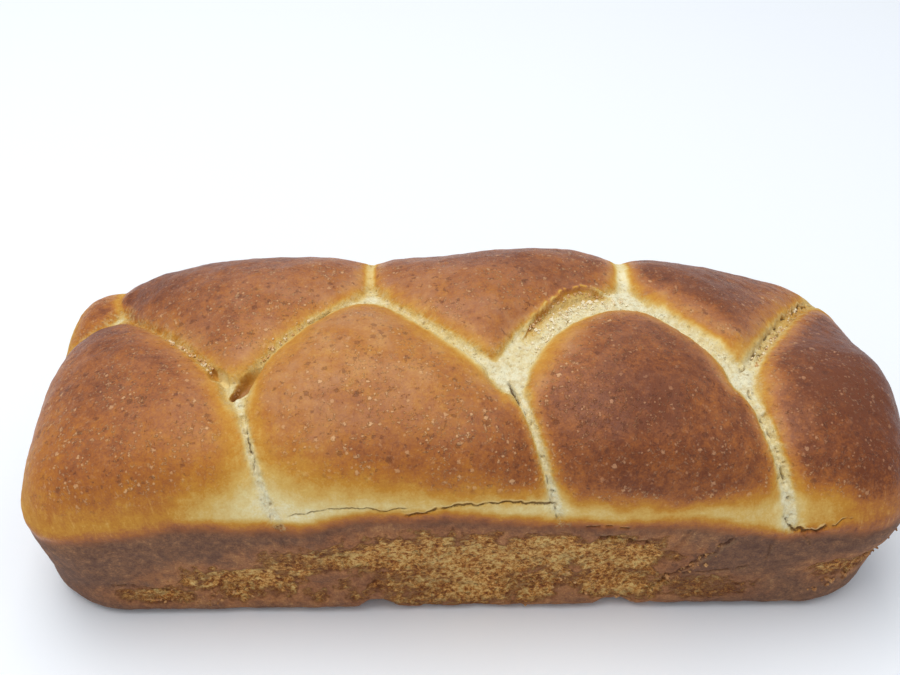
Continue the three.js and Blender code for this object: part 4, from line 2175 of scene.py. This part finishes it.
    def _holes(self) -> Socket:
        """Joins the modelled holes with pin holes and pits in the seam floors, all darkened with
        painted shade.

        Returns:
            The holes' strength.
        """
        look = self.look
        pins = self.times(self.spots(look.pin_holes), self.floor, look.pin_share)
        pits = self.times(self.patches(look.pits), self.floor, look.pits.strength)
        return self.most(pins, pits, self.range(self.attribute("pit_shade"), *look.hole_fade))

    def _split(self) -> tuple[Socket, Socket]:
        """Draws the splits.

        Returns:
            Their line of painted shade, and the pale edge on one side of it, a painted highlight that
            is partly a paler flap.
        """
        look = self.look
        side = self.plus(self.attribute("split_side"), self.swing(look.ragged_split))
        shown = self.range(self.attribute("split"), *look.split_amount)
        line = self.range(self.math("ABSOLUTE", side), *look.split_fade)
        beside = self.math("ABSOLUTE", self.plus(side, -look.edge_place))
        return self.times(line, shown), self.times(self.range(beside, *look.edge_fade), shown)

    def _torn(self) -> Socket:
        """Breaks the torn patches up into crumbs and shreds of crust.

        Returns:
            How torn the crust is.
        """
        drawn = self.stretched(self.look.torn_stretch)
        torn = self.attribute("torn")
        clouds = self.plus(*(self.swing(cloud, drawn) for cloud in self.look.torn_clouds))
        loose = self.times(clouds, self.range(torn, *self.look.torn_edge))
        return self.plus(self.times(torn, self.look.torn_share), loose)

    def _crumb(self) -> Socket:
        """Colours the bare crumb: fine light and dark grains, partly painted highlights and shade,
        over broad golden clouds.

        Returns:
            The colour.
        """
        drawn = self.stretched(self.look.crumb_stretch)
        clouds = (self.swing(cloud, drawn) for cloud in self.look.crumb_clouds)
        torn = self.times(self.attribute("torn"), self.look.torn_tone)
        return self.ramp(self.plus(torn, self.look.crumb_tone, *clouds), self.look.crumb_browns)

    def _leather(self) -> Socket:
        """Colours the crust that lay against the tin, warmer where it is thin.

        Returns:
            The colour.
        """
        clouds = self.plus(*(self.cloud(cloud) for cloud in self.look.band_clouds))
        spread = self.range(clouds, *self.look.band_fade)
        thick, thin = (
            self.ramp(spread, browns) for browns in (self.look.band_browns, self.look.thin_browns))
        return self.mix(self.attribute("thin"), thick, thin)


@dataclass(frozen=True)
class CrumbTrail:
    """Crumbs that cling along a line of places on the loaf. Sizes are in millimetres.

    The tones run from 0, brown, to 1, pale.
    """

    places: tuple[Place, ...]
    count: int
    spread: float
    largest: float
    tones: Range


CRUMB_TRAILS = (
    # Under the ragged lip, and along the pale floor beside it
    CrumbTrail(((22, -4, 92), (30, 11, 92), (40, 22, 92), (54, 25, 92)), 70, 0.8, 1.1, (0.45, 0.8)),
    CrumbTrail(((24, -14, 92), (34, 4, 92), (48, 16, 92), (60, 17, 92)), 130, 2.0, 1.4, (0.85, 1.0)),
    # Where the left seams meet
    CrumbTrail(((-112, 4, 88), (-97, -8, 88), (-87, -20, 87)), 56, 1.4, 1.3, (0.5, 0.85)),
    CrumbTrail(((-72, -14, 90), (-60, 4, 90)), 26, 1.2, 1.1, (0.5, 0.85)),
    # Along the right back seam
    CrumbTrail(((104, -16, 84), (120, 10, 80), (134, 34, 70)), 80, 1.7, 1.2, (0.5, 0.95)),
    # The torn wall, its slanting crease and its lower corner
    CrumbTrail(((88, -60, 40), (78, -60, 25), (66, -60, 10)), 50, 1.4, 1.3, (0.15, 0.45)),
    CrumbTrail(((-118, -60, 10), (-96, -60, 9), (-80, -60, 14)), 50, 2.6, 1.2, (0.1, 0.4)),
    CrumbTrail(((24, -60, 16), (44, -60, 22), (52, -60, 12)), 60, 5.0, 1.2, (0.2, 0.5)),
    CrumbTrail(((128, -60, 12), (142, -56, 22), (156, -44, 38)), 60, 2.2, 1.4, (0.05, 0.4)),
)


@dataclass
class Crumbs:
    """All clinging crumbs, as one mesh of small lumps. Sizes are in millimetres."""

    crust: Crust
    trails: tuple[CrumbTrail, ...] = CRUMB_TRAILS
    seed: int = 21
    smallest: float = 0.4
    stretches: Range = (0.6, 1.3)
    roughness: float = 0.30
    sunk: float = 0.35

    def build(self, loaf: bpy.types.Object) -> bpy.types.Object:
        """Sets the crumbs on the loaf's surface.

        Args:
            loaf: The crust that they cling to.

        Returns:
            The crumbs, in the scene's collection.
        """
        draw = np.random.default_rng(self.seed)
        surface = BVHTree.FromPolygons(
            [corner.co for corner in loaf.data.vertices],
            [face.vertices for face in loaf.data.polygons])
        shape = bmesh.new()
        tones: list[float] = []
        for trail in self.trails:
            for _ in range(trail.count):
                self._add(shape, surface, trail, draw)
                tone = draw.uniform(*trail.tones)
                tones += [tone] * (len(shape.verts) - len(tones))
        mesh = bpy.data.meshes.new("challah_crumbs")
        shape.to_mesh(mesh)
        shape.free()
        mesh.attributes.new("tone", "FLOAT", "POINT").data.foreach_set("value", tones)
        return put_in_scene("challah_crumbs", mesh)

    def _add(
        self, shape: bmesh.types.BMesh, surface: BVHTree, trail: CrumbTrail,
        draw: np.random.Generator,
    ) -> None:
        """Adds one lump beside a trail, sunk a little into the surface.

        Args:
            shape: The mesh of all lumps.
            surface: The crust's surface.
            trail: The trail.
            draw: Source of the random draws.
        """
        knots = np.array(trail.places, float)
        share = draw.uniform(0, len(knots) - 1)
        index = int(share)
        guide = knots[index] + (share - index) * (knots[index + 1] - knots[index])
        guide = guide + draw.normal(size=3) * trail.spread
        place = self.crust.body.onto(guide[None])[0] - self.crust.centre
        found, normal, _, _ = surface.find_nearest(Vector(place * METRES_PER_MM))
        radius = (self.smallest + (trail.largest - self.smallest) * draw.random() ** 2) / 2
        lump = bmesh.ops.create_icosphere(shape, subdivisions=2, radius=1.0)["verts"]
        turn = Matrix(np.linalg.qr(draw.normal(size=(3, 3)))[0])
        scale = draw.uniform(*self.stretches, size=3)
        middle = Vector(found) + Vector(normal) * radius * (1 - self.sunk) * METRES_PER_MM
        for corner in lump:
            rough = 1 + self.roughness * draw.normal()
            corner.co = middle + turn @ Vector(
                side * size * radius * rough * METRES_PER_MM
                for side, size in zip(corner.co, scale))


@dataclass(frozen=True)
class CrumbFinish:
    """Matte crumbs, from brown to pale by their tone."""

    browns: Stops = (
        (0.0, (132, 86, 52)),
        (0.3, (184, 130, 80)),
        (0.6, (222, 180, 122)),
        (1.0, (244, 236, 206)),
    )
    uneven: Cloud = Cloud(0.5, 3, 0.6, 0.6)
    roughness: float = 0.8
    refraction: float = 1.5
    specular: float = 0.3

    def material(self) -> bpy.types.Material:
        """Makes the material.

        Returns:
            A material that reads the crumbs' tone.
        """
        nodes = ShaderNodes("loose_crumb")
        tone = nodes.plus(nodes.attribute("tone"), nodes.swing(self.uneven))
        return nodes.surface({
            "Base Color": nodes.ramp(tone, self.browns),
            "Roughness": self.roughness,
            "IOR": self.refraction,
            "Specular IOR Level": self.specular,
        })


@dataclass
class Challah:
    """The whole loaf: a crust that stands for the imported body, and the crumbs on it."""

    crust: Crust = field(default_factory=Crust)
    finish: CrustFinish = CrustFinish()
    crumb_finish: CrumbFinish = CrumbFinish()

    def build(self) -> list[bpy.types.Object]:
        """Builds and dresses the loaf.

        Returns:
            Its pieces.
        """
        loaf = self.crust.build()
        loaf.data.materials.append(self.finish.material())
        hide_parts("loaf")
        crumbs = Crumbs(self.crust).build(loaf)
        crumbs.data.materials.append(self.crumb_finish.material())
        for piece in (loaf, crumbs):
            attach(piece, "root")
        return [loaf, crumbs]


@dataclass(frozen=True)
class Floor:
    """A plain pale floor, wide enough to fill every view."""

    half_size: float = 6.0
    colour: Colour = (245, 247, 249)
    roughness: float = 0.7

    def build(self) -> bpy.types.Object:
        """Lays the floor under the loaf.

        Returns:
            The floor, which is not attached to the loaf's body.
        """
        size = self.half_size
        mesh = bpy.data.meshes.new("pale_floor")
        mesh.from_pydata(
            [(-size, -size, 0), (size, -size, 0), (size, size, 0), (-size, size, 0)],
            [], [(0, 1, 2, 3)])
        nodes = ShaderNodes("pale_floor")
        mesh.materials.append(nodes.surface({
            "Base Color": linear(self.colour),
            "Roughness": self.roughness,
        }))
        floor = put_in_scene("pale_floor", mesh)
        return floor


@dataclass(frozen=True)
class StudioLight:
    """One large soft light overhead, and a surround that is bright above and dim at the sides."""

    place: Place = (-0.30, 0.0, 1.4)
    size: tuple[float, float] = (1.5, 1.0)
    power: float = 13.4
    surround: Colour = (222, 228, 236)
    low_strength: float = 0.58
    high_strength: float = 0.93

    def build(self) -> None:
        """Hangs the light and sets the surround."""
        lamp = bpy.data.lights.new("overhead", "AREA")
        lamp.shape = "RECTANGLE"
        lamp.size, lamp.size_y = self.size
        lamp.energy = self.power
        hung = put_in_scene("overhead", lamp)
        hung.location = self.place
        hung.rotation_euler = (-Vector(self.place)).to_track_quat("-Z", "Y").to_euler()
        bpy.context.scene.world = self._surround()
        bpy.context.scene.view_settings.view_transform = "Standard"

    def _surround(self) -> bpy.types.World:
        """Makes the surround, dim at the horizon and bright overhead.

        Returns:
            The surround.
        """
        world = bpy.data.worlds.new("surround")
        world.use_nodes = True
        tree = world.node_tree
        background = tree.nodes["Background"]
        background.inputs["Color"].default_value = linear(self.surround)
        direction = tree.nodes.new("ShaderNodeTexCoord")
        split = tree.nodes.new("ShaderNodeSeparateXYZ")
        rise = tree.nodes.new("ShaderNodeMapRange")
        rise.inputs["To Min"].default_value = self.low_strength
        rise.inputs["To Max"].default_value = self.high_strength
        tree.links.new(direction.outputs["Generated"], split.inputs[0])
        tree.links.new(split.outputs["Z"], rise.inputs["Value"])
        tree.links.new(rise.outputs[0], background.inputs["Strength"])
        return world


@dataclass(frozen=True)
class PhotoCamera:
    """A camera at the photograph's viewing angle."""

    focal_length: float = 46.0
    sensor_width: float = 36.0
    elevation: float = math.radians(38)
    azimuth: float = math.radians(-2.631)
    roll: float = math.radians(1.3)
    distance: float = 0.4184
    target: Place = (-0.00642, 0.0, 0.08426)

    def build(self) -> bpy.types.Object:
        """Sets up the scene's camera.

        Returns:
            The camera.
        """
        back = Vector((
            math.sin(self.azimuth) * math.cos(self.elevation),
            -math.cos(self.azimuth) * math.cos(self.elevation),
            math.sin(self.elevation),
        ))
        level = Vector((0, 0, 1)).cross(back).normalized()
        upward = back.cross(level)
        right = level * math.cos(self.roll) + upward * math.sin(self.roll)
        up = upward * math.cos(self.roll) - level * math.sin(self.roll)
        data = bpy.data.cameras.new("photo_camera")
        data.lens = self.focal_length
        data.sensor_width = self.sensor_width
        camera = put_in_scene("photo_camera", data)
        turn = Matrix((right, up, back)).transposed().to_4x4()
        camera.matrix_world = Matrix.Translation(Vector(self.target) + back * self.distance) @ turn
        bpy.context.scene.camera = camera
        return camera


def main() -> None:
    """Builds the camera, the loaf and the studio, in order."""
    logging.basicConfig(level=logging.INFO, format="%(name)s: %(message)s", stream=sys.stdout)
    PhotoCamera().build()
    for piece in Challah().build():
        triangles = sum(len(face.vertices) - 2 for face in piece.data.polygons)
        log.info("%s has %d triangles", piece.name, triangles)
    Floor().build()
    StudioLight().build()
    log.info("the floor and the light are set")


if __name__ == "__main__":
    main()
